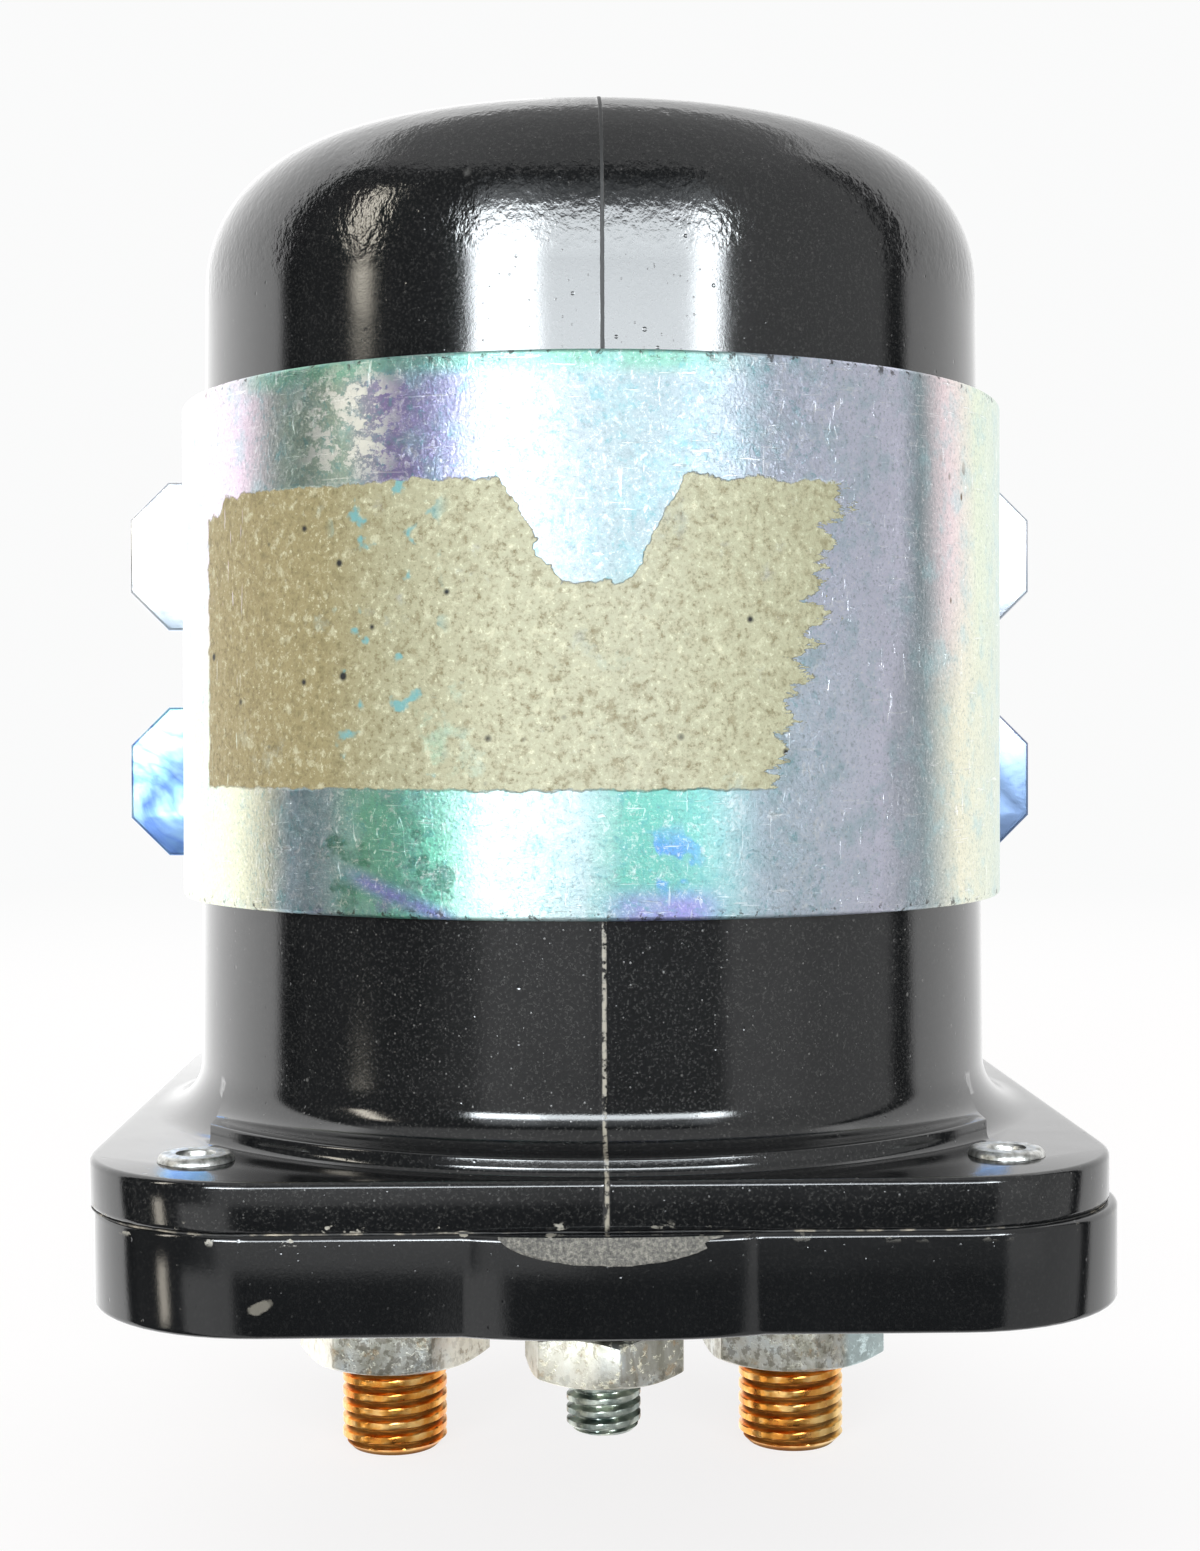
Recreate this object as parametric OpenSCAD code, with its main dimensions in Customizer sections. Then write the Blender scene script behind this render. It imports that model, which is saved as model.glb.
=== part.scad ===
// Power solenoid switch: a moulded can over a square terminal base, strapped to a panel bracket.
// Millimetres. The origin is the middle of the four panel holes, in the plane of the panel.
// +Z points to the dome, the studs point to -Z, and the front of the can faces -Y.

/* [Moulded housing] */
// Radius of the can just under its dome
can_top_r = 28.97; // [27.5:0.01:31]
// Growth of the radius from the dome down to the foot, left by the mould
can_draft = 0.49; // [0.1:0.01:1.5]
// Height of the dome's crown above the panel holes
dome_top_h = 39.3; // [37:0.01:44]
// Radius of the crown, seen from the side
crown_r = 80; // [60:0.5:110]
// Radius of the rounded shoulder between crown and can
shoulder_r = 9.5; // [7:0.1:13]
// Wall of the can
can_wall = 3; // [2.4:0.1:3.6]
// Thickness of the dome's roof
roof_t = 4; // [3:0.1:5]
// Concave fillet between the can and the pads
foot_fillet_r = 2.3; // [1.5:0.1:3]
// Width of the two crescent pads outside the can's foot, in front and behind
pad_w = 3.54; // [3.2:0.01:4.5]
// Height of the pads above the flange
pad_rise = 1.2; // [0.6:0.1:2]
// Margin of the flange outside the pads
flange_margin = 0.85; // [0.3:0.01:2]
// Thickness of the square flange
flange_t = 3.24; // [2.6:0.01:4.5]
// Corner radius of the flange and the base
corner_r = 12.08; // [9:0.01:14]
// Distance from the panel holes down to the joint between flange and base
joint_drop = 36.9; // [35:0.1:40]

/* [Terminal base] */
// Thickness of the moulded terminal base
base_t = 6.43; // [5.6:0.01:8]
// How far the base's sides stand out past the flange's sides
base_overhang = 0.1; // [0:0.01:0.5]
// How far the base sits off to the right of the flange
base_shift = 0.4; // [0:0.01:0.8]
// Bulge of the base in front of and behind the coil studs
bulge_d = 1.2; // [0.4:0.1:1.5]
// Half the width of that bulge
bulge_half_w = 9; // [7:0.1:12]
// Radius of the round boss under each main stud
main_boss_r = 8; // [7.6:0.1:9]
// Height of the boss under each main stud
main_boss_h = 1.44; // [0.6:0.01:3]
// Radius of the round boss under each coil stud
coil_boss_r = 5.4; // [4.6:0.1:6]
// Height of the boss under each coil stud
coil_boss_h = 1.1; // [0.6:0.1:2]

/* [Corner rivets] */
// Distance of each rivet from the two flange sides next to it
rivet_inset = 7.55; // [6:0.01:8]
// Radius of the rivet shank
rivet_r = 1.6; // [1.3:0.1:1.9]
// Radius of the rolled end on the flange
rivet_roll_r = 2.5; // [2.3:0.1:3]
// Height of the rolled end
rivet_roll_h = 0.5; // [0.3:0.1:0.9]
// Radius of the hollow in the rolled end
rivet_hollow_r = 1.1; // [0.7:0.1:1.2]
// Depth of that hollow
rivet_hollow_d = 3; // [1:0.1:5]
// Radius of the head under the base
rivet_head_r = 3.2; // [2.8:0.1:4]
// Thickness of the head under the base
rivet_head_t = 0.9; // [0.6:0.1:1.6]

/* [Mounting bracket] */
// Height of the band, which is also centred on the panel holes
band_h = 36; // [30:0.5:40]
// Sheet thickness of the band
band_t = 1.35; // [1:0.05:2]
// Gap between the band's two ends, at the back
band_gap = 1; // [0.4:0.1:3]
// Sheet thickness of the bracket plate
plate_t = 1.9; // [1.2:0.1:2.5]
// Half the width of the bracket plate over its ears
plate_half_w = 41.1; // [38:0.1:46]
// Half the height of the bracket plate
plate_half_h = 17; // [15:0.1:19]
// Half the height of the notch between an upper and a lower ear
notch_half_h = 3.5; // [2:0.1:6]
// Distance from the middle to the floor of the notch
notch_x = 29; // [26:0.1:30.5]
// Chamfer on the outer corners of each ear
ear_chamfer = 3.45; // [1:0.05:4]
// Depth by which the ears stand behind the welded web
joggle_d = 2.55; // [2.4:0.05:6]
// Half the width of the flat web that is welded to the band
web_half_w = 13; // [10:0.5:15]
// Width over which the sheet steps back from web to ears
joggle_w = 4; // [3:0.5:6]
// Distance from a panel hole's middle out to the side edge of its ear
hole_inset_w = 7.75; // [6.5:0.05:9]
// Distance from a panel hole's middle to the upper or lower edge of its ear
hole_inset_h = 6.75; // [5.5:0.05:8]
// Radius of a panel hole
hole_r = 2.6; // [2:0.05:3]
// Radius of a projection weld
weld_r = 2.2; // [1.5:0.1:2.8]
// Distance of the welds from the band's gap, to their middles
weld_x = 5.5; // [4:0.1:6.5]
// Distance between the welds, up and down
weld_pitch = 11; // [8:0.5:13]

/* [Main terminals] */
// Distance of each main stud's middle in from the side of the can, under its dome
main_inset = 13.79; // [13:0.01:14.1]
// Radius over the main stud's thread
main_r = 3.969; // [3.8:0.001:4.1]
// Radius at which the main stud's thread and its nut's thread meet
main_pitch_r = 3.625; // [3.3:0.005:3.7]
// Distance from the panel holes down to the main studs' ends
main_end_drop = 60.3; // [58:0.1:66]
// Radius of the stud's head, whose top is the fixed contact
head_r = 7.25; // [6.6:0.05:7.5]
// Thickness of the stud's head
head_t = 3; // [2:0.1:4]
// Side of the square neck that keeps the stud from turning
neck_w = 9; // [8.4:0.1:10]
// Depth of the square neck in the base
neck_d = 2; // [1:0.1:3]
// Width of the main nut across its flats
main_nut_af = 12.7; // [11.5:0.1:14]
// Height of the main nut
main_nut_h = 6.75; // [4:0.05:7.5]
// Outer radius of the split lock washer
lock_r = 7.1; // [6:0.1:7.4]
// Thickness of the split lock washer
lock_t = 1.98; // [1.2:0.02:2.4]
// Width of the split in the lock washer
lock_split_w = 1.4; // [0.8:0.1:2]

/* [Coil terminals] */
// Distance of each coil stud's middle in from the side of the can, under its dome
coil_inset = 3.14; // [2.4:0.01:3.8]
// Radius over the coil stud's thread
coil_r = 2.413; // [2.3:0.001:2.6]
// Radius at which the coil stud's thread and its nut's thread meet
coil_pitch_r = 2.155; // [1.9:0.005:2.2]
// Distance from the panel holes down to the coil studs' ends
coil_end_drop = 51.3; // [49.5:0.1:56]
// Radius of the coil stud's head
coil_head_r = 4.2; // [3.6:0.1:4.6]
// Thickness of the coil stud's head
coil_head_t = 1.8; // [1:0.1:2.2]
// Width of the coil nut across its flats
coil_nut_af = 9.525; // [8:0.005:10.2]
// Height of the coil nut
coil_nut_h = 3.2; // [2.2:0.1:4]
// Radius of the ring on the coil lead's lug
lug_r = 4; // [3.4:0.1:4.5]
// Thickness of the lug
lug_t = 0.8; // [0.5:0.1:1]
// Width of the lug's tongue
tongue_w = 3; // [2:0.1:4]
// Radius of the coil lead
lead_r = 0.8; // [0.5:0.05:0.9]

/* [Contacts] */
// Air gap between the disc and the fixed contacts at rest
contact_gap = 2.4; // [1.6:0.1:3]
// Travel of the plunger after the contacts have closed
overtravel = 0.8; // [0.4:0.1:1.2]
// Thickness of the contact disc
disc_t = 2.4; // [1.6:0.1:3]
// How far the disc reaches past the middle of each fixed contact
disc_reach = 3.8; // [2.5:0.1:4.2]
// Radius of the insulating hub's sleeve in the disc
hub_r = 4.4; // [3.6:0.1:5]
// Radius of the hub's flange on the disc
hub_flange_r = 7; // [6:0.1:9]
// Thickness of the hub's flange
hub_flange_t = 1.2; // [0.8:0.1:2]
// Radius of the insulating washer under the disc
hub_washer_r = 6.5; // [5.6:0.1:6.8]
// Thickness of that washer
hub_washer_t = 1.4; // [0.8:0.1:2]
// Length of the contact spring at rest
contact_spring_len = 6.9; // [5:0.1:8]
// Mean radius of the contact spring
contact_spring_r = 4; // [3.6:0.1:4.6]
// Radius of the contact spring's wire
contact_wire_r = 0.55; // [0.4:0.05:0.7]
// Radius of the seat washer over the contact spring
seat_r = 6; // [5:0.1:7]
// Thickness of the seat washer
seat_t = 1; // [0.6:0.1:1.5]

/* [Magnet] */
// Radial play between the can's bore and the steel frame
frame_play = 0.47; // [0.2:0.01:1]
// Wall of the tubular steel frame
frame_wall = 2.2; // [1.5:0.1:2.6]
// Thickness of each steel end plate
end_plate_t = 2.5; // [1.5:0.1:3]
// Wall of the insulating barrel around the contacts
barrel_wall = 2; // [1.5:0.1:2.2]
// Height of the wave washer that holds the coil down
wave_h = 1.2; // [0.8:0.1:2]
// Room over the wave washer under the dome's roof
headroom = 6.4; // [5.6:0.1:9]
// Wall of the bobbin's tube
bobbin_wall = 1.2; // [0.8:0.1:2]
// Thickness of the bobbin's flanges
bobbin_flange_t = 1.6; // [1:0.1:2.5]
// How far the bobbin's flanges stand past the winding
flange_over = 1.2; // [1:0.1:2]
// Thickness of the tape around the winding
wrap_t = 0.6; // [0.3:0.1:0.8]
// Wall of the guide tube
tube_wall = 0.5; // [0.3:0.1:1]
// Height of the fixed core inside the coil
core_h = 15; // [12:0.5:18]
// Radius of the core's spigot in the lower end plate
spigot_r = 8; // [7:0.1:9]
// Thickness of the fibre stop washer
stop_t = 0.7; // [0.4:0.1:1.5]
// Radius of the fibre stop washer
stop_r = 7.5; // [6:0.1:9]

/* [Plunger] */
// Radius of the plunger
plunger_r = 9.5; // [9:0.1:10.5]
// How far the plunger stands out of the top end plate
plunger_out = 4.3; // [2:0.1:5]
// Chamfer on the plunger's top
plunger_chamfer = 1; // [0.4:0.1:2]
// Radius of the push rod
rod_r = 2.4; // [2:0.1:2.8]
// Depth of the rod's socket in the plunger
socket_d = 12; // [6:0.5:16]
// Length of the rod's tip under its lower clip
rod_tip = 1.5; // [1:0.1:2.2]
// Thickness of the rod's retaining clips
clip_t = 0.8; // [0.5:0.1:1.2]
// Outer radius of the retaining clips
clip_r = 4.4; // [3.8:0.1:5]
// Depth of the clip grooves in the rod
groove_d = 0.45; // [0.2:0.05:0.7]
// Mean radius of the return spring
return_spring_r = 4.8; // [4.2:0.1:5.2]
// Radius of the return spring's wire
return_wire_r = 0.6; // [0.4:0.05:0.8]
// Radius of the spring pockets in core and plunger
pocket_r = 6.2; // [6:0.1:7]
// Depth of the spring pocket in the core
core_pocket = 8; // [4:0.5:8]
// Depth of the spring pocket in the plunger
plunger_pocket = 6; // [3:0.5:8]
// Length of the bush that guides the rod in the core
bush_len = 6; // [4:0.5:8]
// Outer radius of that bush
bush_r = 4.4; // [3.6:0.1:5]

/* [Fits] */
// Radial clearance of a running fit
running_fit = 0.05; // [0.03:0.01:0.1]
// Radial clearance of pressed and staked pieces
press_fit = 0.02; // [0.01:0.01:0.05]
// Radial clearance of a bolt, rivet or stud in its hole
hole_fit = 0.1; // [0.05:0.01:0.3]
// Clearance between pieces that never touch
free_fit = 0.4; // [0.2:0.05:0.6]
// Last air gap, so that the plunger doesn't stick to the core
residual_gap = 0.1; // [0.05:0.05:0.3]
// Gap at the stops at rest
rest_gap = 0.1; // [0.05:0.01:0.2]
// Clearance under the rod's tip when the switch is closed
tip_gap = 0.8; // [0.4:0.1:1.5]

/* [Hidden] */
$fn = 96;
fine_fn = 240;
cut = 1;
sides = [-1, 1];
arc_steps = 16;

// Places of the studs, from the can's axis
main_x = can_top_r - main_inset;
coil_y = can_top_r - coil_inset;

// Radii, from the can inwards
can_foot_r = can_top_r + can_draft;
pad_r = can_foot_r + pad_w;
flange_half = pad_r + flange_margin;
base_half = flange_half + base_overhang;
bore_r = can_top_r - can_wall;
frame_r = bore_r - frame_play;
frame_in_r = frame_r - frame_wall;
end_plate_r = frame_in_r - running_fit;
bobbin_r = frame_in_r - free_fit;
wrap_r = bobbin_r - flange_over;
winding_r = wrap_r - wrap_t;
tube_in_r = plunger_r + running_fit;
tube_r = tube_in_r + tube_wall;
bobbin_in_r = tube_r + hole_fit;
spool_r = bobbin_in_r + bobbin_wall;
disc_r = main_x + disc_reach;
disc_bore_r = hub_r + running_fit;
lead_y = winding_r - lead_r;
ledge_r = frame_in_r - wave_h - running_fit;
core_bore_r = rod_r + free_fit;

// Heights: the dome, the shoulder's middle, the joint and what is under it
joint_z = -joint_drop;
flange_z = joint_z + flange_t;
pad_z = flange_z + pad_rise;
base_z = joint_z - base_t;
crown_c = dome_top_h - crown_r;
shoulder_c = can_top_r - shoulder_r;
shoulder_z = crown_c + sqrt(pow(crown_r - shoulder_r, 2) - pow(shoulder_c, 2));
shoulder_turn = atan2(shoulder_z - crown_c, shoulder_c);
roof_z = dome_top_h - roof_t;
roof_r = crown_r - roof_t;
ledge_z = roof_z - headroom;
main_boss_z = base_z - main_boss_h;
main_nut_top_z = main_boss_z - lock_t;
main_nut_z = main_nut_top_z - main_nut_h;
coil_boss_z = base_z - coil_boss_h;
coil_nut_z = coil_boss_z - coil_nut_h;

// Heights: the contact chamber from the joint up, then the magnet from the ledge down
contact_z = joint_z + head_t;
disc_z = contact_z + contact_gap;
hub_z = disc_z + disc_t;
spring_z = hub_z + hub_flange_t;
seat_z = spring_z + contact_spring_len;
upper_clip_z = seat_z + seat_t;
stop_z = upper_clip_z + clip_t + rest_gap;
lower_plate_z = stop_z + stop_t;
coil_z = lower_plate_z + end_plate_t;
frame_top_z = ledge_z - wave_h;
coil_top_z = frame_top_z - end_plate_t;
hub_washer_z = disc_z - hub_washer_t;
lower_clip_z = hub_washer_z - clip_t;
travel = contact_gap + overtravel;
core_top_z = coil_z + core_h;
plunger_z = core_top_z + travel + residual_gap;
plunger_top_z = frame_top_z + plunger_out;
return_spring_z = core_top_z - core_pocket;
return_spring_top_z = plunger_z + plunger_pocket;
rod_top_z = return_spring_top_z + socket_d;
rod_tip_z = lower_clip_z - rod_tip;
well_z = rod_tip_z - travel - tip_gap;
well_r = clip_r + free_fit + free_fit;

// The coil stud's head and its lug lie in a pocket in the base
coil_pocket_d = lug_t + coil_head_t + free_fit;
lug_z = joint_z - coil_pocket_d;
coil_head_z = lug_z + lug_t;
coil_pocket_r = max(coil_head_r, lug_r) + free_fit;

// The can's foot: beside the pads its fillet goes down to the flange
can_foot_z = pad_z + foot_fillet_r;
side_fillet_r = can_foot_z - flange_z;

// The bracket: the band's bore fits the can at the band's lower edge
draft_slope = can_draft / (shoulder_z - can_foot_z);
band_bore_r = can_top_r + draft_slope * (shoulder_z + band_h / 2) + running_fit;
band_r = band_bore_r + band_t;
axis_y = -(band_r + plate_t + joggle_d);
web_y = -joggle_d;
hole_x = plate_half_w - hole_inset_w;
hole_z = plate_half_h - hole_inset_h;
rivet_at = flange_half - rivet_inset;

// How far each nut happens to be turned: left and right main nut, front and back coil nut
main_nut_turns = [-5, -21.5];
coil_nut_turns = [38.8, 12];
nut_chamfer_share = 0.3;
thread_chamfer_share = 0.2;
clip_mouth_share = 0.62;

function arc_points(cx, cz, r, from, to) =
    [for (i = [0 : arc_steps]) let (a = from + (to - from) * i / arc_steps)
        [cx + r * cos(a), cz + r * sin(a)]];

// A square with round corners, as one outline
function square_points(half, r) =
    let (c = half - r)
    concat(arc_points(c, c, r, 0, 90), arc_points(-c, c, r, 90, 180),
        arc_points(-c, -c, r, 180, 270), arc_points(c, -c, r, 270, 360));

// One wave of the base's bulge, along a side of the outline
function bulge_points(half, turn) =
    [for (i = [-arc_steps : arc_steps]) let (u = i / arc_steps)
        [turn * u * bulge_half_w, -turn * (half + bulge_d * (1 + cos(180 * u)) / 2)]];

// Places a piece on the can's axis, with its own z as the height
module on_axis(z = 0) {
    translate([0, axis_y, z]) children();
}

module ring(r_out, r_in, h) {
    difference() {
        cylinder(r = r_out, h = h);
        translate([0, 0, -cut]) cylinder(r = r_in, h = h + 2 * cut);
    }
}

// A split ring, open towards +X
module split_ring(r_out, r_in, h, mouth) {
    difference() {
        ring(r_out, r_in, h);
        translate([0, -mouth / 2, -cut]) cube([r_out + cut, mouth, h + 2 * cut]);
    }
}

// A nut with both ends chamfered, on its own axis
module hex_nut(across, h, bore) {
    corner = across / sqrt(3);
    drop = (corner - across / 2) * nut_chamfer_share * 2;
    difference() {
        intersection() {
            cylinder(r = corner, h = h, $fn = 6);
            rotate_extrude() polygon([
                [0, 0], [across / 2, 0], [corner, drop], [corner, h - drop], [across / 2, h], [0, h]
            ]);
        }
        translate([0, 0, -cut]) cylinder(r = bore, h = h + 2 * cut);
    }
}

// A stud's thread as cylinders of its outside radius, but of its pitch radius through the nut
module thread_steps(r, pitch_r, end, nut_low, nut_high, high) {
    bevel = r * thread_chamfer_share;
    step_z = nut_low - free_fit;
    translate([0, 0, end]) cylinder(r1 = r - bevel, r2 = r, h = bevel);
    translate([0, 0, end + bevel]) cylinder(r = r, h = step_z - end - bevel);
    translate([0, 0, step_z]) cylinder(r = pitch_r, h = nut_high - step_z);
    translate([0, 0, nut_high]) cylinder(r = r, h = high - nut_high);
}

module rivet_places() {
    for (x = sides, y = sides) translate([x * rivet_at, y * rivet_at, 0]) children();
}

module main_places() {
    for (x = sides) translate([x * main_x, 0, 0]) children();
}

module coil_places() {
    for (y = sides) translate([0, y * coil_y, 0]) children();
}

// Moulded can, dome and flange in one shell, open at the joint
module housing() {
    color([0.09, 0.09, 0.1]) on_axis() difference() {
        union() {
            rotate_extrude() polygon(concat(
                [[0, joint_z], [can_foot_r + side_fillet_r, joint_z]],
                arc_points(can_foot_r + side_fillet_r, can_foot_z, side_fillet_r, 270, 180),
                arc_points(shoulder_c, shoulder_z, shoulder_r, 0, shoulder_turn),
                [for (p = arc_points(0, crown_c, crown_r, shoulder_turn, 90)) if (p[0] > residual_gap) p],
                [[0, dome_top_h]]
            ));
            translate([0, 0, joint_z]) linear_extrude(flange_t) polygon(square_points(flange_half, corner_r));
            crescent_pads();
        }
        housing_bore();
        rivet_places() translate([0, 0, joint_z - cut])
            cylinder(r = rivet_r + hole_fit, h = flange_t + 2 * cut);
    }
}

// The pads where the can comes close to the flange's edge, in front and behind. They end at the rivets.
module crescent_pads() {
    intersection() {
        rotate_extrude() polygon(concat(
            [[bore_r, joint_z], [pad_r, joint_z], [pad_r, pad_z]],
            arc_points(can_foot_r + foot_fillet_r, can_foot_z, foot_fillet_r, 270, 180),
            [[bore_r, can_foot_z]]
        ));
        translate([-rivet_at, -pad_r - cut, joint_z]) cube([2 * rivet_at, 2 * (pad_r + cut), joint_drop]);
    }
}

// The space inside the housing: the coil's bore, the ledge over it and the hollow of the dome
module housing_bore() {
    roof_turn = acos(ledge_r / roof_r);
    rotate_extrude() polygon(concat(
        [[0, joint_z - cut], [bore_r, joint_z - cut], [bore_r, ledge_z], [ledge_r, ledge_z]],
        [for (p = arc_points(0, crown_c, roof_r, roof_turn, 90)) if (p[0] > residual_gap) p],
        [[0, roof_z]]
    ));
}

// Moulded base that carries all four studs
module terminal_base() {
    color([0.08, 0.08, 0.09]) on_axis() difference() {
        union() {
            translate([base_shift, 0, base_z]) linear_extrude(base_t)
                polygon(square_points(base_half, corner_r));
            for (turn = sides) translate([base_shift, 0, base_z]) linear_extrude(base_t)
                polygon(concat([[turn * bulge_half_w, 0]], [[-turn * bulge_half_w, 0]],
                    bulge_points(base_half, turn)));
            main_places() translate([0, 0, main_boss_z]) cylinder(r = main_boss_r, h = main_boss_h + cut);
            coil_places() translate([0, 0, coil_boss_z]) cylinder(r = coil_boss_r, h = coil_boss_h + cut);
        }
        rivet_places() translate([0, 0, base_z - cut]) cylinder(r = rivet_r + hole_fit, h = base_t + 2 * cut);
        main_places() translate([0, 0, main_boss_z - cut])
            cylinder(r = main_r + hole_fit, h = main_boss_h + base_t + 2 * cut);
        main_places() neck_block(neck_w + 2 * hole_fit, cut);
        coil_places() translate([0, 0, coil_boss_z - cut])
            cylinder(r = coil_r + hole_fit, h = coil_boss_h + base_t + 2 * cut);
        coil_places() translate([0, 0, lug_z]) cylinder(r = coil_pocket_r, h = coil_pocket_d + cut);
        for (y = sides) tongue(y, tongue_w + 2 * free_fit, coil_pocket_d + cut, free_fit);
        translate([0, 0, well_z]) cylinder(r = well_r, h = joint_z - well_z + cut);
    }
}

// The square neck under a main stud's head, or with a margin its pocket in the base
module neck_block(side, over) {
    translate([-side / 2, -side / 2, joint_z - neck_d]) cube([side, side, neck_d + over]);
}

// The lug's tongue from a coil stud towards the axis, or with a margin its slot in the base
module tongue(dir, w, h, over) {
    reach = coil_y - lead_y + 2 * lead_r + over;
    translate([-w / 2, dir > 0 ? coil_y - reach : -coil_y, lug_z]) cube([w, reach, h]);
}

// Four semi-tubular rivets through flange and base
module corner_rivets() {
    color([0.62, 0.63, 0.62]) on_axis() rivet_places() difference() {
        union() {
            translate([0, 0, base_z]) cylinder(r = rivet_r, h = base_t + flange_t);
            translate([0, 0, flange_z]) cylinder(r = rivet_roll_r, h = rivet_roll_h);
            translate([0, 0, base_z - rivet_head_t]) cylinder(r = rivet_head_r, h = rivet_head_t);
        }
        translate([0, 0, flange_z + rivet_roll_h - rivet_hollow_d])
            cylinder(r = rivet_hollow_r, h = rivet_hollow_d + cut);
    }
}

// Steel strap bent round the can, with its ends at the back
module mounting_band() {
    color([0.78, 0.8, 0.8]) on_axis(-band_h / 2) difference() {
        ring(band_r, band_bore_r, band_h);
        translate([-band_gap / 2, 0, -cut]) cube([band_gap, band_r + cut, band_h + 2 * cut]);
    }
}

// Pressed plate: a flat web on the band, and four ears that lie on the panel
module mounting_plate() {
    over = band_h;
    color([0.72, 0.75, 0.82]) difference() {
        intersection() {
            translate([0, 0, -over]) linear_extrude(2 * over) polygon(concat(
                hat_points(web_y, 0),
                [for (i = [5 : -1 : 0]) hat_points(web_y - plate_t, -plate_t)[i]]
            ));
            rotate([90, 0, 0]) translate([0, 0, -cut]) linear_extrude(plate_t + joggle_d + 2 * cut)
                polygon(plate_points());
        }
        for (x = sides, z = sides) translate([x * hole_x, cut, z * hole_z])
            rotate([90, 0, 0]) cylinder(r = hole_r, h = plate_t + 2 * cut);
    }
}

// One face of the stepped sheet, seen from above: the ears are joined to the web by a slope
function hat_points(web, ear) =
    let (slope = web_half_w + joggle_w)
    [[-plate_half_w - cut, ear], [-slope, ear], [-web_half_w, web], [web_half_w, web],
        [slope, ear], [plate_half_w + cut, ear]];

// The plate's outline, seen from the front: four chamfered ears with a notch on each side
function plate_points() =
    let (w = plate_half_w, h = plate_half_h, n = notch_half_h, c = ear_chamfer,
        ear = [[w - c, h], [w, h - c], [w, n + c], [w - c, n], [notch_x, n]])
    concat(ear, [for (i = [4 : -1 : 0]) [ear[i][0], -ear[i][1]]], [for (p = ear) [-p[0], -p[1]]],
        [for (i = [4 : -1 : 0]) [-ear[i][0], ear[i][1]]]);

// Projection welds between band and web
module bracket_welds() {
    depth = band_r - sqrt(pow(band_r, 2) - pow(weld_x + weld_r, 2));
    color([0.55, 0.56, 0.56]) difference() {
        for (x = sides, z = [-1, 0, 1]) translate([x * weld_x, web_y - plate_t, z * weld_pitch])
            rotate([90, 0, 0]) cylinder(r = weld_r, h = depth);
        on_axis(-band_h / 2) cylinder(r = band_r, h = band_h, $fn = fine_fn);
    }
}

// A copper stud: the head inside is a fixed contact, the square neck locks it in the base
module main_stud(x) {
    color([0.8, 0.47, 0.2]) on_axis() translate([x * main_x, 0, 0]) {
        translate([0, 0, joint_z]) cylinder(r = head_r, h = head_t);
        neck_block(neck_w, 0);
        thread_steps(main_r, main_pitch_r, -main_end_drop, main_nut_z, main_nut_top_z, joint_z - neck_d);
    }
}

module main_stud_left() {
    main_stud(-1);
}

module main_stud_right() {
    main_stud(1);
}

module main_lock_washers() {
    color([0.6, 0.6, 0.58]) on_axis(main_boss_z - lock_t) main_places()
        split_ring(lock_r, main_r + hole_fit, lock_t, lock_split_w);
}

module main_nuts() {
    color([0.66, 0.66, 0.62]) on_axis(main_nut_z) for (i = [0, 1])
        translate([sides[i] * main_x, 0, 0]) rotate([0, 0, main_nut_turns[i]])
            hex_nut(main_nut_af, main_nut_h, main_pitch_r + running_fit);
}

// A steel stud with a round head that clamps the coil lead's lug
module coil_stud(y) {
    color([0.68, 0.72, 0.74]) on_axis() translate([0, y * coil_y, 0]) {
        translate([0, 0, coil_head_z]) cylinder(r = coil_head_r, h = coil_head_t);
        thread_steps(coil_r, coil_pitch_r, -coil_end_drop, coil_nut_z, coil_boss_z, coil_head_z);
    }
}

module coil_stud_front() {
    coil_stud(-1);
}

module coil_stud_back() {
    coil_stud(1);
}

module coil_nuts() {
    color([0.74, 0.76, 0.76]) on_axis(coil_nut_z) for (i = [0, 1])
        translate([0, sides[i] * coil_y, 0]) rotate([0, 0, coil_nut_turns[i]])
            hex_nut(coil_nut_af, coil_nut_h, coil_pitch_r + running_fit);
}

// Brass lugs under the coil studs' heads, each with a tongue to its lead
module coil_lugs() {
    color([0.82, 0.68, 0.36]) on_axis() difference() {
        union() {
            coil_places() translate([0, 0, lug_z]) cylinder(r = lug_r, h = lug_t);
            for (y = sides) tongue(y, tongue_w, lug_t, 0);
        }
        coil_places() translate([0, 0, lug_z - cut]) cylinder(r = coil_r + hole_fit, h = lug_t + 2 * cut);
    }
}

// Insulated leads from the lugs up through the lower plate to the winding
module coil_leads() {
    color([0.6, 0.13, 0.1]) on_axis(coil_head_z) for (y = sides) translate([0, y * lead_y, 0])
        cylinder(r = lead_r, h = coil_z + bobbin_flange_t - coil_head_z);
}

module lead_holes() {
    for (y = sides) translate([0, y * lead_y, -cut])
        cylinder(r = lead_r + hole_fit, h = end_plate_t + bobbin_flange_t);
}

// Steel tube around the coil, which closes the magnet's circuit
module flux_frame() {
    color([0.5, 0.52, 0.53]) on_axis(lower_plate_z) ring(frame_r, frame_in_r, frame_top_z - lower_plate_z);
}

module upper_end_plate() {
    color([0.5, 0.52, 0.53]) on_axis(coil_top_z) ring(end_plate_r, tube_r + running_fit, end_plate_t);
}

module lower_end_plate() {
    color([0.5, 0.52, 0.53]) on_axis(lower_plate_z) difference() {
        ring(end_plate_r, spigot_r + press_fit, end_plate_t);
        lead_holes();
    }
}

// Wave washer between the frame and the ledge in the can
module wave_washer() {
    color([0.5, 0.55, 0.6]) on_axis(frame_top_z) ring(frame_r, frame_in_r, wave_h);
}

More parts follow.
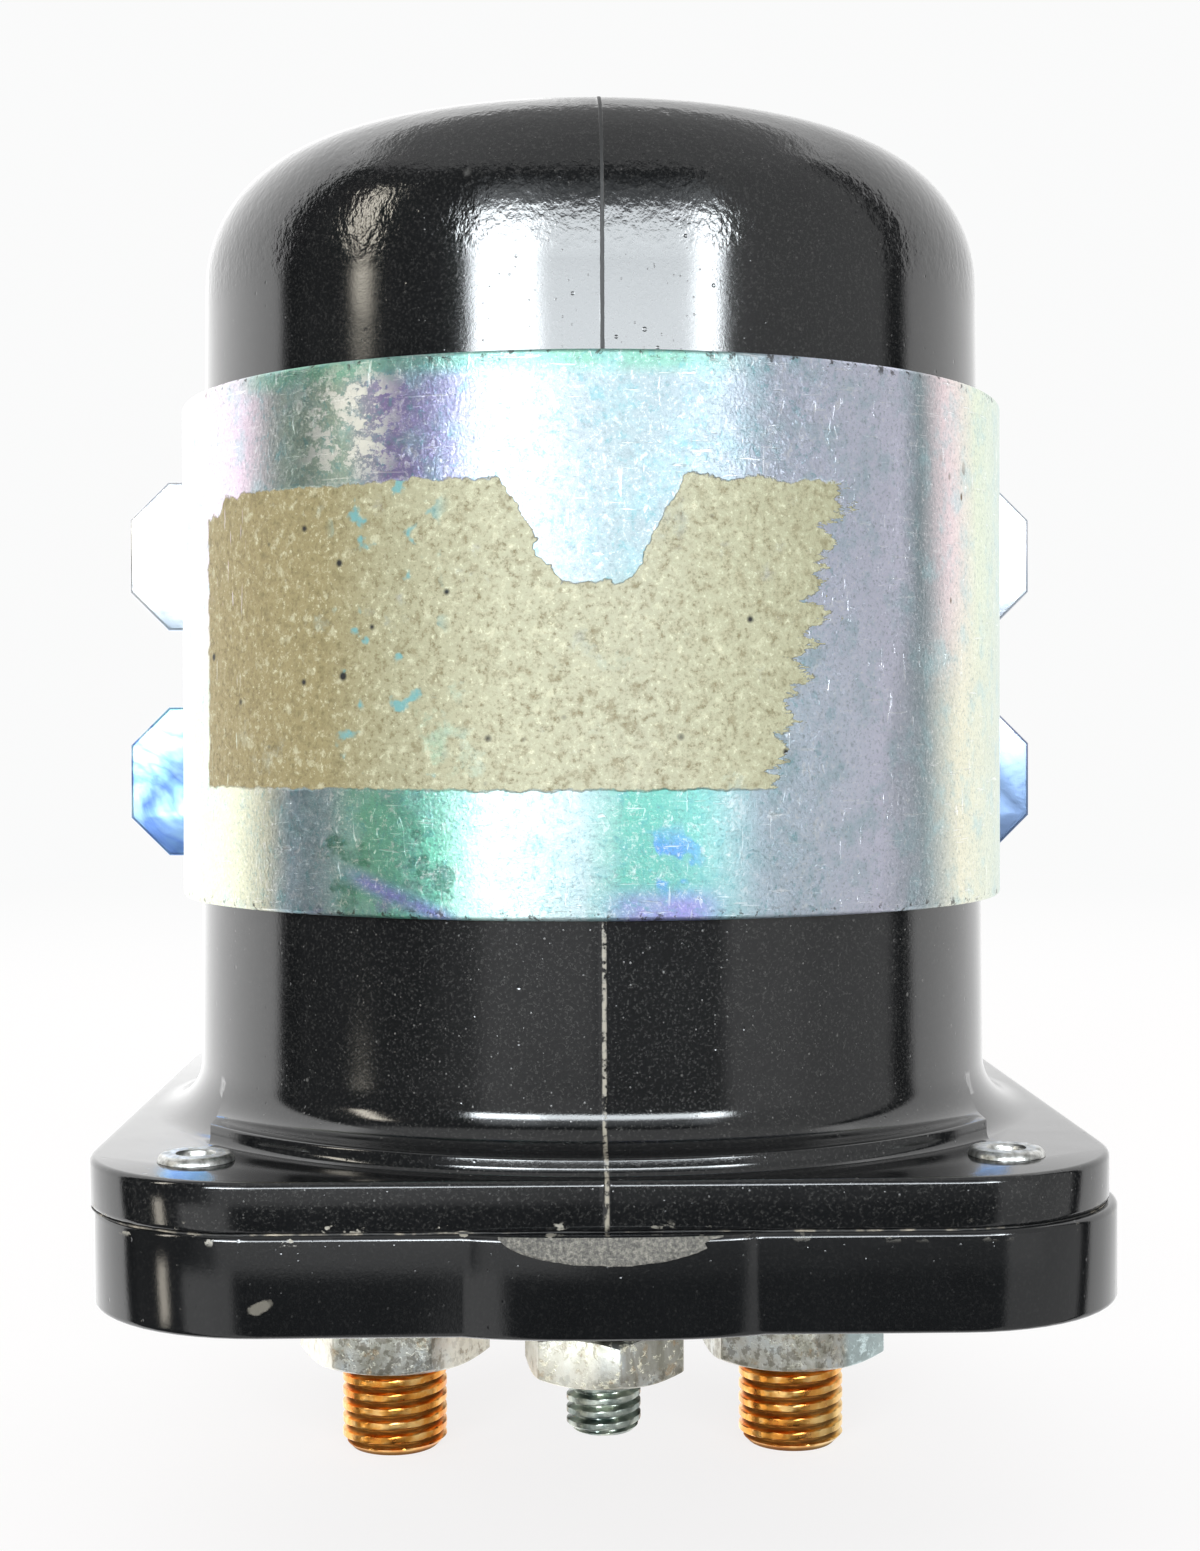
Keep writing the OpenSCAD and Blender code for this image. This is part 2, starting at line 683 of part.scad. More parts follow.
// Insulating barrel that stands on the base, lines the contact chamber and carries the magnet
module contact_barrel() {
    color([0.55, 0.4, 0.26]) on_axis(joint_z) ring(frame_r, frame_r - barrel_wall, lower_plate_z - joint_z);
}

module coil_bobbin() {
    length = coil_top_z - coil_z;
    color([0.85, 0.84, 0.78]) on_axis(coil_z) difference() {
        union() {
            cylinder(r = spool_r, h = length);
            for (z = [0, length - bobbin_flange_t]) translate([0, 0, z])
                cylinder(r = bobbin_r, h = bobbin_flange_t);
        }
        translate([0, 0, -cut]) cylinder(r = bobbin_in_r, h = length + 2 * cut);
        lead_holes();
    }
}

module winding_space(r_out, r_in) {
    on_axis(coil_z + bobbin_flange_t) ring(r_out, r_in, coil_top_z - coil_z - 2 * bobbin_flange_t);
}

module coil_winding() {
    color([0.72, 0.36, 0.15]) winding_space(winding_r, spool_r + press_fit);
}

module coil_wrap() {
    color([0.86, 0.78, 0.4]) winding_space(wrap_r, winding_r + press_fit);
}

// Brass tube in which the plunger slides
module guide_tube() {
    color([0.8, 0.68, 0.36]) on_axis(coil_z) ring(tube_r, tube_in_r, frame_top_z - coil_z);
}

// Steel core staked into the lower end plate, hollow for the rod, its bush and the return spring
module fixed_core() {
    color([0.56, 0.57, 0.58]) on_axis() difference() {
        union() {
            translate([0, 0, lower_plate_z]) cylinder(r = spigot_r, h = end_plate_t + cut);
            translate([0, 0, coil_z]) cylinder(r = plunger_r, h = core_h);
        }
        translate([0, 0, return_spring_z]) cylinder(r = pocket_r, h = core_pocket + cut);
        translate([0, 0, lower_plate_z - cut]) cylinder(r = core_bore_r, h = end_plate_t + core_h + 2 * cut);
        translate([0, 0, lower_plate_z - cut]) cylinder(r = bush_r, h = bush_len + cut);
    }
}

module core_bush() {
    color([0.8, 0.66, 0.34]) on_axis(lower_plate_z) ring(bush_r - press_fit, rod_r + running_fit, bush_len);
}

// Fibre washer under the lower plate, where the rod's upper clip stops
module stop_washer() {
    color([0.45, 0.12, 0.08]) on_axis(stop_z) ring(stop_r, core_bore_r, stop_t);
}

// Steel plunger with a pocket for the return spring and a socket for the rod
module plunger() {
    top = plunger_top_z;
    color([0.62, 0.64, 0.66]) on_axis() difference() {
        rotate_extrude() polygon([
            [0, plunger_z], [plunger_r, plunger_z], [plunger_r, top - plunger_chamfer],
            [plunger_r - plunger_chamfer, top], [0, top]
        ]);
        translate([0, 0, plunger_z - cut]) cylinder(r = pocket_r, h = plunger_pocket + cut);
        translate([0, 0, plunger_z]) cylinder(r = rod_r + press_fit, h = rod_top_z - plunger_z);
    }
}

module push_rod() {
    color([0.7, 0.71, 0.72]) on_axis() difference() {
        translate([0, 0, rod_tip_z]) cylinder(r = rod_r, h = rod_top_z - rod_tip_z);
        for (z = [lower_clip_z, upper_clip_z]) translate([0, 0, z])
            ring(rod_r + cut, rod_r - groove_d, clip_t);
    }
}

// Two open clips snapped into the rod's grooves
module rod_clips() {
    mouth = 2 * (rod_r - groove_d) * clip_mouth_share;
    color([0.35, 0.36, 0.38]) for (z = [lower_clip_z, upper_clip_z])
        on_axis(z) split_ring(clip_r, rod_r - groove_d + press_fit, clip_t, mouth);
}

// The springs are drawn as the space that their coils fill
module spring_space(low, high, mean_r, wire_r) {
    on_axis(low) ring(mean_r + wire_r, mean_r - wire_r, high - low);
}

module return_spring() {
    color([0.5, 0.52, 0.55])
        spring_space(return_spring_z, return_spring_top_z, return_spring_r, return_wire_r);
}

module contact_spring() {
    color([0.55, 0.57, 0.6]) spring_space(spring_z, seat_z, contact_spring_r, contact_wire_r);
}

module spring_seat() {
    color([0.6, 0.61, 0.62]) on_axis(seat_z) ring(seat_r, rod_r + press_fit, seat_t);
}

// Insulating hub: a flange on the disc and a sleeve through it
module contact_hub() {
    color([0.62, 0.42, 0.22]) on_axis() difference() {
        union() {
            translate([0, 0, disc_z]) cylinder(r = hub_r, h = disc_t + hub_flange_t);
            translate([0, 0, hub_z]) cylinder(r = hub_flange_r, h = hub_flange_t);
        }
        translate([0, 0, disc_z - cut])
            cylinder(r = rod_r + running_fit, h = disc_t + hub_flange_t + 2 * cut);
    }
}

// Copper disc that bridges the two fixed contacts
module contact_disc() {
    color([0.78, 0.44, 0.22]) on_axis(disc_z) ring(disc_r, disc_bore_r, disc_t);
}

module contact_washer() {
    color([0.62, 0.42, 0.22]) on_axis(hub_washer_z) ring(hub_washer_r, rod_r + running_fit, hub_washer_t);
}

housing();
terminal_base();
corner_rivets();
mounting_band();
mounting_plate();
bracket_welds();
main_stud_left();
main_stud_right();
main_lock_washers();
main_nuts();
coil_stud_front();
coil_stud_back();
coil_nuts();
coil_lugs();
coil_leads();
flux_frame();
upper_end_plate();
lower_end_plate();
wave_washer();
contact_barrel();
coil_bobbin();
coil_winding();
coil_wrap();
guide_tube();
fixed_core();
core_bush();
stop_washer();
plunger();
push_rod();
rod_clips();
return_spring();
spring_seat();
contact_spring();
contact_hub();
contact_disc();
contact_washer();
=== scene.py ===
import math
import bpy
from mathutils import Matrix, Vector, noise


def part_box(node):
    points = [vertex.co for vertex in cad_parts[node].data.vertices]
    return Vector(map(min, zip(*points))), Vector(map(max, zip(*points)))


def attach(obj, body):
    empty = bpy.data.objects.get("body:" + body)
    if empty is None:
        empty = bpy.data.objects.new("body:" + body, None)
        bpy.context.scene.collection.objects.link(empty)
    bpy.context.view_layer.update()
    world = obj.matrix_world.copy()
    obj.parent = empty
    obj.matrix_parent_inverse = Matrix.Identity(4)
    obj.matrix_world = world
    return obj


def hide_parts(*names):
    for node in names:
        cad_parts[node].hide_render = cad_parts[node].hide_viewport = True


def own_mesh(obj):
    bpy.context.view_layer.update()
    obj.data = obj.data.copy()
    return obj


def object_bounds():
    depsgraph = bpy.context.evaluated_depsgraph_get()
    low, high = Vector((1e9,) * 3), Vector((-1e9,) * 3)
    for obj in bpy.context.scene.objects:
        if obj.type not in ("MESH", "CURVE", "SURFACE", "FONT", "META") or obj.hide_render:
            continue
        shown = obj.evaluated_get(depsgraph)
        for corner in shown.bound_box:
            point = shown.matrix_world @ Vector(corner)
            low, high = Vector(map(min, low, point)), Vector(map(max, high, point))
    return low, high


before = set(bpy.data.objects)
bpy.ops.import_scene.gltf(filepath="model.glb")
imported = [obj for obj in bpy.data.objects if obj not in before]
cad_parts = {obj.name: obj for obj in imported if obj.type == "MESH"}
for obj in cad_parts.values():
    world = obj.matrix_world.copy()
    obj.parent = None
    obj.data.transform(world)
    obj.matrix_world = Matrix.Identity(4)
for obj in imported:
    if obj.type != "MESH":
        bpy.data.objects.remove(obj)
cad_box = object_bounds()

# The camera stands close in front of the band, a little to the left, and looks along +Y.
# Its place, turn and lens follow from the studs, the band and the base in the photograph.
MM = 0.001
camera_place = Vector((-4.467, -205.713, -6.612)) * MM
camera_yaw, camera_pitch, camera_roll = -0.025236, -0.008562, 0.002504
camera_turn = (Matrix.Rotation(camera_yaw, 3, "Z") @ Matrix.Rotation(camera_pitch, 3, "X")
               @ Matrix.Rotation(camera_roll, 3, "Y") @ Matrix.Rotation(math.radians(90), 3, "X"))
bpy.ops.object.camera_add()
camera = bpy.context.object
camera.name = "camera"
camera.matrix_world = Matrix.Translation(camera_place) @ camera_turn.to_4x4()
camera.data.sensor_width = 36
camera.data.lens = 51.695
camera.data.shift_x = 0.0068
camera.data.shift_y = -0.0103
camera.data.clip_start = 0.01
scene = bpy.context.scene
scene.camera = camera
scene.view_settings.view_transform = "Standard"


# Studio light: a white table behind the part, a long window strip in front of it and dim walls,
# each placed by bearing and height in degrees. The camera sees only a plain pale ground.
class Signal:
    """An output of a shader node. Arithmetic on it adds the Math nodes that work it out."""

    def __init__(self, tree, socket=None):
        self.tree = tree
        self.socket = socket

    def node(self, kind, settings=None, inputs=None, out=0):
        """Adds one node: its settings first, then its ramp's stops, then its inputs' values or links."""
        made = self.tree.nodes.new("ShaderNode" + kind)
        for key, value in (settings or {}).items():
            if key != "stops":
                setattr(made, key, value)
                continue
            for i, (at, colour) in enumerate(value):
                stop = made.color_ramp.elements[i] if i < 2 else made.color_ramp.elements.new(at)
                stop.position = at
                stop.color = (*colour, 1)
        for key, value in (inputs or {}).items():
            if isinstance(value, Signal):
                self.tree.links.new(value.socket, made.inputs[key])
            elif isinstance(value, tuple) and len(value) == 3 and made.inputs[key].type == "RGBA":
                made.inputs[key].default_value = (*value, 1)
            else:
                made.inputs[key].default_value = value
        return Signal(self.tree, made.outputs[out])

    def math(self, operation, *values):
        return self.node("Math", {"operation": operation}, dict(enumerate(values)))

    def __add__(self, other):
        return self.math("ADD", self, other)

    def __radd__(self, other):
        return self.math("ADD", other, self)

    def __sub__(self, other):
        return self.math("SUBTRACT", self, other)

    def __rsub__(self, other):
        return self.math("SUBTRACT", other, self)

    def __mul__(self, other):
        return self.math("MULTIPLY", self, other)

    def __rmul__(self, other):
        return self.math("MULTIPLY", other, self)

    def __truediv__(self, other):
        return self.math("DIVIDE", self, other)

    def __neg__(self):
        return self.math("MULTIPLY", self, -1.0)

    def __abs__(self):
        return self.math("ABSOLUTE", self)

    def rise(self, low, high):
        """0 below low, 1 above high, and a smooth step between them."""
        return self.node("MapRange", {"interpolation_type": "SMOOTHSTEP"}, {0: self, 1: low, 2: high})

    def within(self, low, high, soft):
        """1 between low and high, and 0 outside, with soft edges."""
        return self.rise(low - soft, low + soft) * (1 - self.rise(high - soft, high + soft))

    def split(self):
        return [self.node("SeparateXYZ", None, {0: self}, out) for out in range(3)]

    def ramp(self, low, high, stops):
        """A colour that runs through stops as the value goes from low to high."""
        share = self.node("MapRange", None, {0: self, 1: low, 2: high})
        spread = [((at - low) / (high - low), colour) for at, colour in stops]
        return self.node("ValToRGB", {"stops": spread}, {0: share})

    def between(self, low, high):
        """A colour that goes from low to high as this value goes from 0 to 1."""
        return self.node("Mix", {"data_type": "RGBA"}, {0: self, 6: low, 7: high}, 2)

    def blend(self, other, factor):
        """This colour, or other where factor is 1."""
        return factor.between(self, other)

    def under(self, *layers):
        """This colour under further ones, each laid on where its factor is 1."""
        top = self
        for colour, factor in layers:
            top = top.blend(colour, factor)
        return top

    def hypot(self, other):
        """How far off an axis a point lies, from its two offsets."""
        square = self * self + other * other
        return square.math("SQRT", square)


ground_colour = (0.96, 0.962, 0.962)
world = bpy.data.worlds.new("studio")
world.use_nodes = True
scene.world = world
sky = Signal(world.node_tree)
east, north, height = sky.node("TexCoord").split()
bearing = east.math("ARCTAN2", east, -north) * math.degrees(1)
rise = height.math("ARCSINE", height) * math.degrees(1)
table = abs(bearing).rise(100.5, 102) * (1 - rise.rise(50, 60)) * (1.75 - 0.5 * bearing.rise(-90, 90))
left_wall = bearing.within(-92, -35, 1.5) * 0.06
lamps = bearing.within(-72.5, -66.5, 0.8) * (rise.within(12, 35, 2) + rise.within(-22, -9, 1) * 0.5) * 10
strip = (bearing.within(-35, 35.5, 0.6) * rise.rise(4, 5)
         * (1 - rise.rise(12, 21) + 0.07 * (1 - rise.rise(24, 44))))
strip_light = 12.5 + 13 * bearing.within(-60, -16, 1.5) + 13 * bearing.within(28, 60, 1.5)
right_wall = bearing.within(35.5, 92, 1.5) * (1 - rise.rise(46, 52)) * 0.55
ceiling = rise.rise(46, 52) * 0.62
near_ground = rise.within(-10, 3, 1) * (0.12 + 0.5 * bearing.within(-33, 0, 4)) * bearing.within(-45, 60, 6)
low_ground = (1 - rise.rise(-11, -9)) * bearing.within(-55, -22, 3) * 0.8
rest = table + left_wall + right_wall + ceiling + near_ground + low_ground + 0.02
seen = sky.node("LightPath")
day = sky.node("Background", None, {0: (0.93, 0.99, 1.03), 1: strip * strip_light})
warm = sky.node("Background", None, {0: (1.05, 0.98, 0.84), 1: lamps})
soft = sky.node("Background", None, {0: (1.0, 1.0, 1.0), 1: rest})
glow = sky.node("AddShader", None, {0: sky.node("AddShader", None, {0: day, 1: warm}), 1: soft})
plain = sky.node("Background", None, {0: ground_colour, 1: 1.0})
mixed = sky.node("MixShader", None, {0: seen, 1: glow, 2: plain})
world_out = world.node_tree.nodes["World Output"]
world.node_tree.links.new(mixed.socket, world_out.inputs[0])


# A plain pale floor under the studs' ends. It is lit mostly by its own glow, as a table is
# in a bright room, and takes a faint soft shadow.
def start_finish(name):
    """A new material, its shader, and the place on the part in millimetres."""
    material = bpy.data.materials.new(name)
    material.use_nodes = True
    start = Signal(material.node_tree)
    metres = start.node("TexCoord", None, None, "Object")
    place = start.node("VectorMath", {"operation": "SCALE"}, {0: metres, "Scale": 1 / MM})
    return material, material.node_tree.nodes["Principled BSDF"], place


floor_size, floor_gap = 8, 0.05 * MM
bpy.ops.mesh.primitive_plane_add(size=floor_size, location=(0, 0, cad_box[0][2] - floor_gap))
floor = bpy.context.object
floor.name = "floor"
floor.visible_glossy = False
pale, _, pale_place = start_finish("pale_floor")
behind = pale_place.node("NewGeometry", None, None, "Backfacing")
east, north, _ = pale_place.split()
far = east.hypot(north).rise(120, 700)
matt = far.node("BsdfDiffuse", None, {0: far.between((0.2, 0.2, 0.2), (0.0, 0.0, 0.0))})
own_glow = far.node("Emission", None, {0: far.between((0.79, 0.78, 0.778), ground_colour), 1: 1.0})
lit = far.node("AddShader", None, {0: matt, 1: own_glow})
one_sided = far.node("MixShader", None, {0: behind, 1: lit, 2: far.node("BsdfTransparent")})
pale.node_tree.links.new(one_sided.socket, pale.node_tree.nodes["Material Output"].inputs[0])
floor.data.materials.append(pale)


# The can, its dome, two crescent pads and the square flange are one moulding of black phenolic resin.
# It was pressed in a mould of two halves, whose seam runs down the front and the back.
def fresh():
    """Back to object mode with nothing selected, so that an operator acts on its own piece alone."""
    if bpy.context.object and bpy.context.object.mode != "OBJECT":
        bpy.ops.object.mode_set(mode="OBJECT")
    bpy.ops.object.select_all(action="DESELECT")


def pick(piece):
    fresh()
    piece.select_set(True)
    bpy.context.view_layer.objects.active = piece


def span(node):
    """Lowest and highest corner of a CAD node, in millimetres."""
    low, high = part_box(node)
    return Vector(low) / MM, Vector(high) / MM


def arc(middle_r, middle_z, radius, start, end, steps):
    """Points of a round stretch of an outline, from one angle to another."""
    turns = [math.radians(start + (end - start) * i / steps) for i in range(steps + 1)]
    return [(middle_r + radius * math.cos(t), middle_z + radius * math.sin(t)) for t in turns]


def named(name):
    """The primitive that was just added, under its own name."""
    piece = bpy.context.object
    piece.name = name
    return piece


def edit_all(piece):
    """Into edit mode, with the whole mesh selected."""
    pick(piece)
    bpy.ops.object.mode_set(mode="EDIT")
    bpy.ops.mesh.select_all(action="SELECT")


def closed(piece):
    """Merges a mesh's doubles, fills its holes and turns its faces outwards."""
    edit_all(piece)
    bpy.ops.mesh.remove_doubles(threshold=0.0005)
    bpy.ops.mesh.fill_holes(sides=0)
    bpy.ops.mesh.normals_make_consistent(inside=False)
    bpy.ops.object.mode_set(mode="OBJECT")


def turned(name, outline, middle, turns=((360, 64),), start=0):
    """A closed outline of (radius, height) points, spun about a vertical axis from the front on.
    Less than a full turn leaves a split ring, whose two ends are filled."""
    fresh()
    bpy.ops.mesh.primitive_circle_add(vertices=len(outline), radius=1)
    piece = named(name)
    lean = math.radians(start)
    for vertex, (radius, level) in zip(piece.data.vertices, outline):
        vertex.co = (middle[0] + radius * math.sin(lean), middle[1] - radius * math.cos(lean), level)
    edit_all(piece)
    for angle, steps in turns:
        bpy.ops.mesh.spin(steps=steps, angle=math.radians(angle),
                          center=(middle[0], middle[1], 0), axis=(0, 0, 1))
    closed(piece)
    return piece


def choose_edges(piece, test):
    """Into edit mode with those edges selected whose two ends pass a test."""
    pick(piece)
    bpy.ops.object.mode_set(mode="EDIT")
    bpy.ops.mesh.select_mode(type="EDGE")
    bpy.ops.mesh.select_all(action="DESELECT")
    bpy.ops.object.mode_set(mode="OBJECT")
    spots = piece.data.vertices
    for edge in piece.data.edges:
        edge.select = test(*(spots[i].co for i in edge.vertices))
    bpy.ops.object.mode_set(mode="EDIT")


def slab(name, middle, half, low, high, corner, corner_steps=14):
    """A square block with round upright corners."""
    fresh()
    lowest = Vector((middle.x - half, middle.y - half, low))
    highest = Vector((middle.x + half, middle.y + half, high))
    bpy.ops.mesh.primitive_cube_add(size=1, location=(lowest + highest) / 2)
    piece = named(name)
    piece.scale = highest - lowest
    bpy.ops.object.transform_apply(location=True, rotation=False, scale=True)
    choose_edges(piece, lambda a, b: abs(a.z - b.z) > 0.5 * (high - low))
    bpy.ops.mesh.bevel(offset=corner, segments=corner_steps, affect="EDGES")
    bpy.ops.object.mode_set(mode="OBJECT")
    return piece


def modify(piece, kind, **settings):
    """Adds a modifier and applies it at once."""
    pick(piece)
    modifier = piece.modifiers.new("step", kind)
    for key, value in settings.items():
        setattr(modifier, key, value)
    bpy.ops.object.modifier_apply(modifier=modifier.name)


def carve(piece, tool, operation="DIFFERENCE"):
    """Cuts, joins or intersects a piece with a tool, and throws the tool away."""
    modify(piece, "BOOLEAN", object=tool, operation=operation, solver="EXACT")
    bpy.data.objects.remove(tool)


def round_edges(piece, width, segments=3, angle=40):
    modify(piece, "BEVEL", width=width, segments=segments, limit_method="ANGLE",
           angle_limit=math.radians(angle), harden_normals=False, use_clamp_overlap=True)


def slice_at(piece, places, normal):
    """Cuts new edges right through a piece, at planes along one direction."""
    pick(piece)
    bpy.ops.object.mode_set(mode="EDIT")
    for place in places:
        bpy.ops.mesh.select_all(action="SELECT")
        bpy.ops.mesh.bisect(plane_co=place, plane_no=normal)
    bpy.ops.object.mode_set(mode="OBJECT")


def block(middle, size):
    """A square cutter."""
    fresh()
    bpy.ops.mesh.primitive_cube_add(size=1, location=middle)
    tool = bpy.context.object
    tool.scale = size
    bpy.ops.object.transform_apply(location=True, rotation=False, scale=True)
    return tool


def plug(at, radius, low, high, steps=40):
    """A round cutter."""
    return turned("plug", [(0, low), (radius, low), (radius, high), (0, high)], at, ((360, steps),))


def ragged(at, size, seed=0.0):
    """Smooth noise from -1 to 1 at a place, for small shapes that no mould leaves straight."""
    return noise.noise(Vector((at[0] / size + seed, at[1] / size - seed, at[2] / size + 7.3)))


# Lengths are in millimetres from here on, until a finished piece is brought to metres
edge_r, play, overrun = 0.4, 0.1, 1.0
rivet_r, rivet_head_r, rivet_rise, pad_rise = 1.6, 3.2, 0.5, 1.2
house_low, house_high = span("housing")
rivet_low, rivet_high = span("corner_rivets")
frame_low, frame_high = span("flux_frame")
axis = (frame_low + frame_high) / 2
dome_top, joint_z = house_high.z, house_low.z
flange_half = (house_high.x - house_low.x) / 2
flange_z = rivet_high.z - rivet_rise
pad_z = flange_z + pad_rise
can_r, foot_r, pad_r = 28.97, 29.46, 33.0
crown_r, shoulder_r, fillet_r, pad_edge_r, pad_root_r = 80.0, 9.5, 2.3, 0.2, 0.6
corner_r = 12.08
bore_r, ledge_r, ledge_z, roof_t = 25.97, 22.05, 28.9, 4.0
crown_z = dome_top - crown_r
shoulder_at = can_r - shoulder_r
shoulder_up = math.sqrt((crown_r - shoulder_r) ** 2 - shoulder_at ** 2)
shoulder_turn = math.degrees(math.atan2(shoulder_up, shoulder_at))
foot_z = pad_z + fillet_r
side_fillet_r = foot_z - flange_z
side_steps = 60
side = [(can_r + (foot_r - can_r) * i / side_steps,
         crown_z + shoulder_up + (foot_z - crown_z - shoulder_up) * i / side_steps)
        for i in range(1, side_steps)]
# The spin's steps in degrees, with their number: narrow ones beside the seam, then one long stretch
seam_steps = ((0.2, 1), (0.25, 1), (0.35, 1), (0.6, 1), (1.6, 1))
all_round = (seam_steps + ((174, 68),) + seam_steps[::-1]) * 2
pole_turn = 89
shell = turned("housing_moulding",
               [(0, dome_top)]
               + arc(0, crown_z, crown_r, pole_turn, shoulder_turn, 14)
               + arc(shoulder_at, crown_z + shoulder_up, shoulder_r, shoulder_turn, 0, 16)[1:]
               + side
               + arc(foot_r + side_fillet_r, foot_z, side_fillet_r, 180, 270, 10)
               + [(foot_r + side_fillet_r, flange_z - overrun), (0, flange_z - overrun)],
               axis, all_round)

rivet_at = (rivet_high.x - rivet_low.x) / 2 - rivet_head_r
pads = turned("pads", [(bore_r, flange_z - overrun), (bore_r, foot_z)]
              + arc(foot_r + fillet_r, foot_z, fillet_r, 180, 270, 8)
              + arc(pad_r - pad_edge_r, pad_z - pad_edge_r, pad_edge_r, 90, 0, 3)
              + arc(pad_r + pad_root_r, flange_z + pad_root_r, pad_root_r, 180, 270, 5)
              + [(pad_r + pad_root_r, flange_z - overrun)], axis, all_round)
carve(pads, block(axis, (2 * rivet_at, 2 * flange_half, 4 * flange_half)), "INTERSECT")

seam_half, seam_h, flange_seam_h = 0.2, 0.05, 0.1
seam_cuts = (-0.5, -0.28, -0.14, 0, 0.14, 0.28, 0.5)
for vertex in list(shell.data.vertices) + list(pads.data.vertices):
    away = Vector((vertex.co.x - axis.x, vertex.co.y - axis.y))
    beside = abs(away.x)
    if beside < seam_half and away.length > 1:
        width = seam_half * (0.8 + 0.35 * ragged(vertex.co, 1.3))
        level = seam_h * (0.75 + 0.5 * ragged(vertex.co, 0.7, 3.0) + 0.35 * ragged(vertex.co, 4.0, 9.0))
        lift = max(0.0, level) * max(0.0, 1 - (beside / width) ** 2)
        if vertex.co.z > crown_z + shoulder_up:
            out = Vector((away.x, away.y, vertex.co.z - crown_z)).normalized()
        else:
            out = Vector((away.x, away.y, 0)).normalized()
        vertex.co += out * lift
        vertex.co.z = min(vertex.co.z, dome_top)

flange = slab("flange", axis, flange_half, joint_z, flange_z, corner_r)
round_edges(flange, edge_r, 4, 60)
slice_at(flange, [(axis.x + cut, 0, 0) for cut in seam_cuts], (1, 0, 0))
for vertex in flange.data.vertices:
    beside = abs(vertex.co.x - axis.x)
    if beside < seam_half and vertex.co.y < axis.y:
        lift = flange_seam_h * (1 - (beside / seam_half) ** 2)
        vertex.co.y -= lift
        vertex.co.z += lift if vertex.co.z > joint_z + overrun else 0
carve(shell, flange, "UNION")
carve(shell, pads, "UNION")

roof_r = crown_r - roof_t
roof_turn = math.degrees(math.acos(ledge_r / roof_r))
bore = turned("bore", [(0, joint_z - overrun), (bore_r, joint_z - overrun), (bore_r, ledge_z),
                       (ledge_r, ledge_z)]
              + arc(0, crown_z, roof_r, roof_turn, pole_turn, 8) + [(0, dome_top - roof_t)], axis)
carve(shell, bore)
corners = [Vector((axis.x + x * rivet_at, axis.y + y * rivet_at, 0)) for x in (-1, 1) for y in (-1, 1)]
for corner in corners:
    carve(shell, plug(corner, rivet_r + play, joint_z - overrun, flange_z + overrun, 32))


def feed(shader, fixed, varied):
    """Sets the shader's constant sockets and links what changes over the surface."""
    for key, value in fixed.items():
        shader.inputs[key].default_value = value
    for key, signal in varied.items():
        signal.tree.links.new(signal.socket, shader.inputs[key])


def cloud(place, size, detail=2.0, roughness=0.5, distortion=0.0):
    """Soft noise from 0 to 1, with lumps of that size in millimetres."""
    return place.node("TexNoise", None, {"Vector": place, "Scale": 1 / size, "Detail": detail,
                                         "Roughness": roughness, "Distortion": distortion})


def stretched(place, x, y, z):
    return place.node("VectorMath", {"operation": "MULTIPLY"}, {0: place, 1: (x, y, z)})


def specks(place, cell, radius, share):
    """Small round specks: one cell in every so many holds one, up to that radius in millimetres."""
    cells = {"Vector": place, "Scale": 1 / cell}
    near = place.node("TexVoronoi", None, cells)
    surplus = place.node("TexVoronoi", None, cells, "Color").split()[0] - (1 - share)
    reach = radius / cell * surplus.math("MAXIMUM", surplus, 0.0) / share
    return 1 - near.node("MapRange", None, {0: near - reach, 1: -0.04, 2: 0.04})


def bump(height):
    """A normal from a height in millimetres."""
    return height.node("Bump", None, {"Strength": 1.0, "Distance": MM, "Height": height})


def fitted(piece, finish, nodes=(), smooth=35, body="case"):
    """Brings a finished piece from millimetres to metres, shades it and puts it on its body."""
    pick(piece)
    piece.scale = (MM, MM, MM)
    bpy.ops.object.transform_apply(location=True, rotation=True, scale=True)
    bpy.ops.object.shade_smooth_by_angle(angle=math.radians(smooth))
    piece.data.materials.clear()
    piece.data.materials.append(finish)
    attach(piece, body)
    if nodes:
        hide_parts(*nodes)


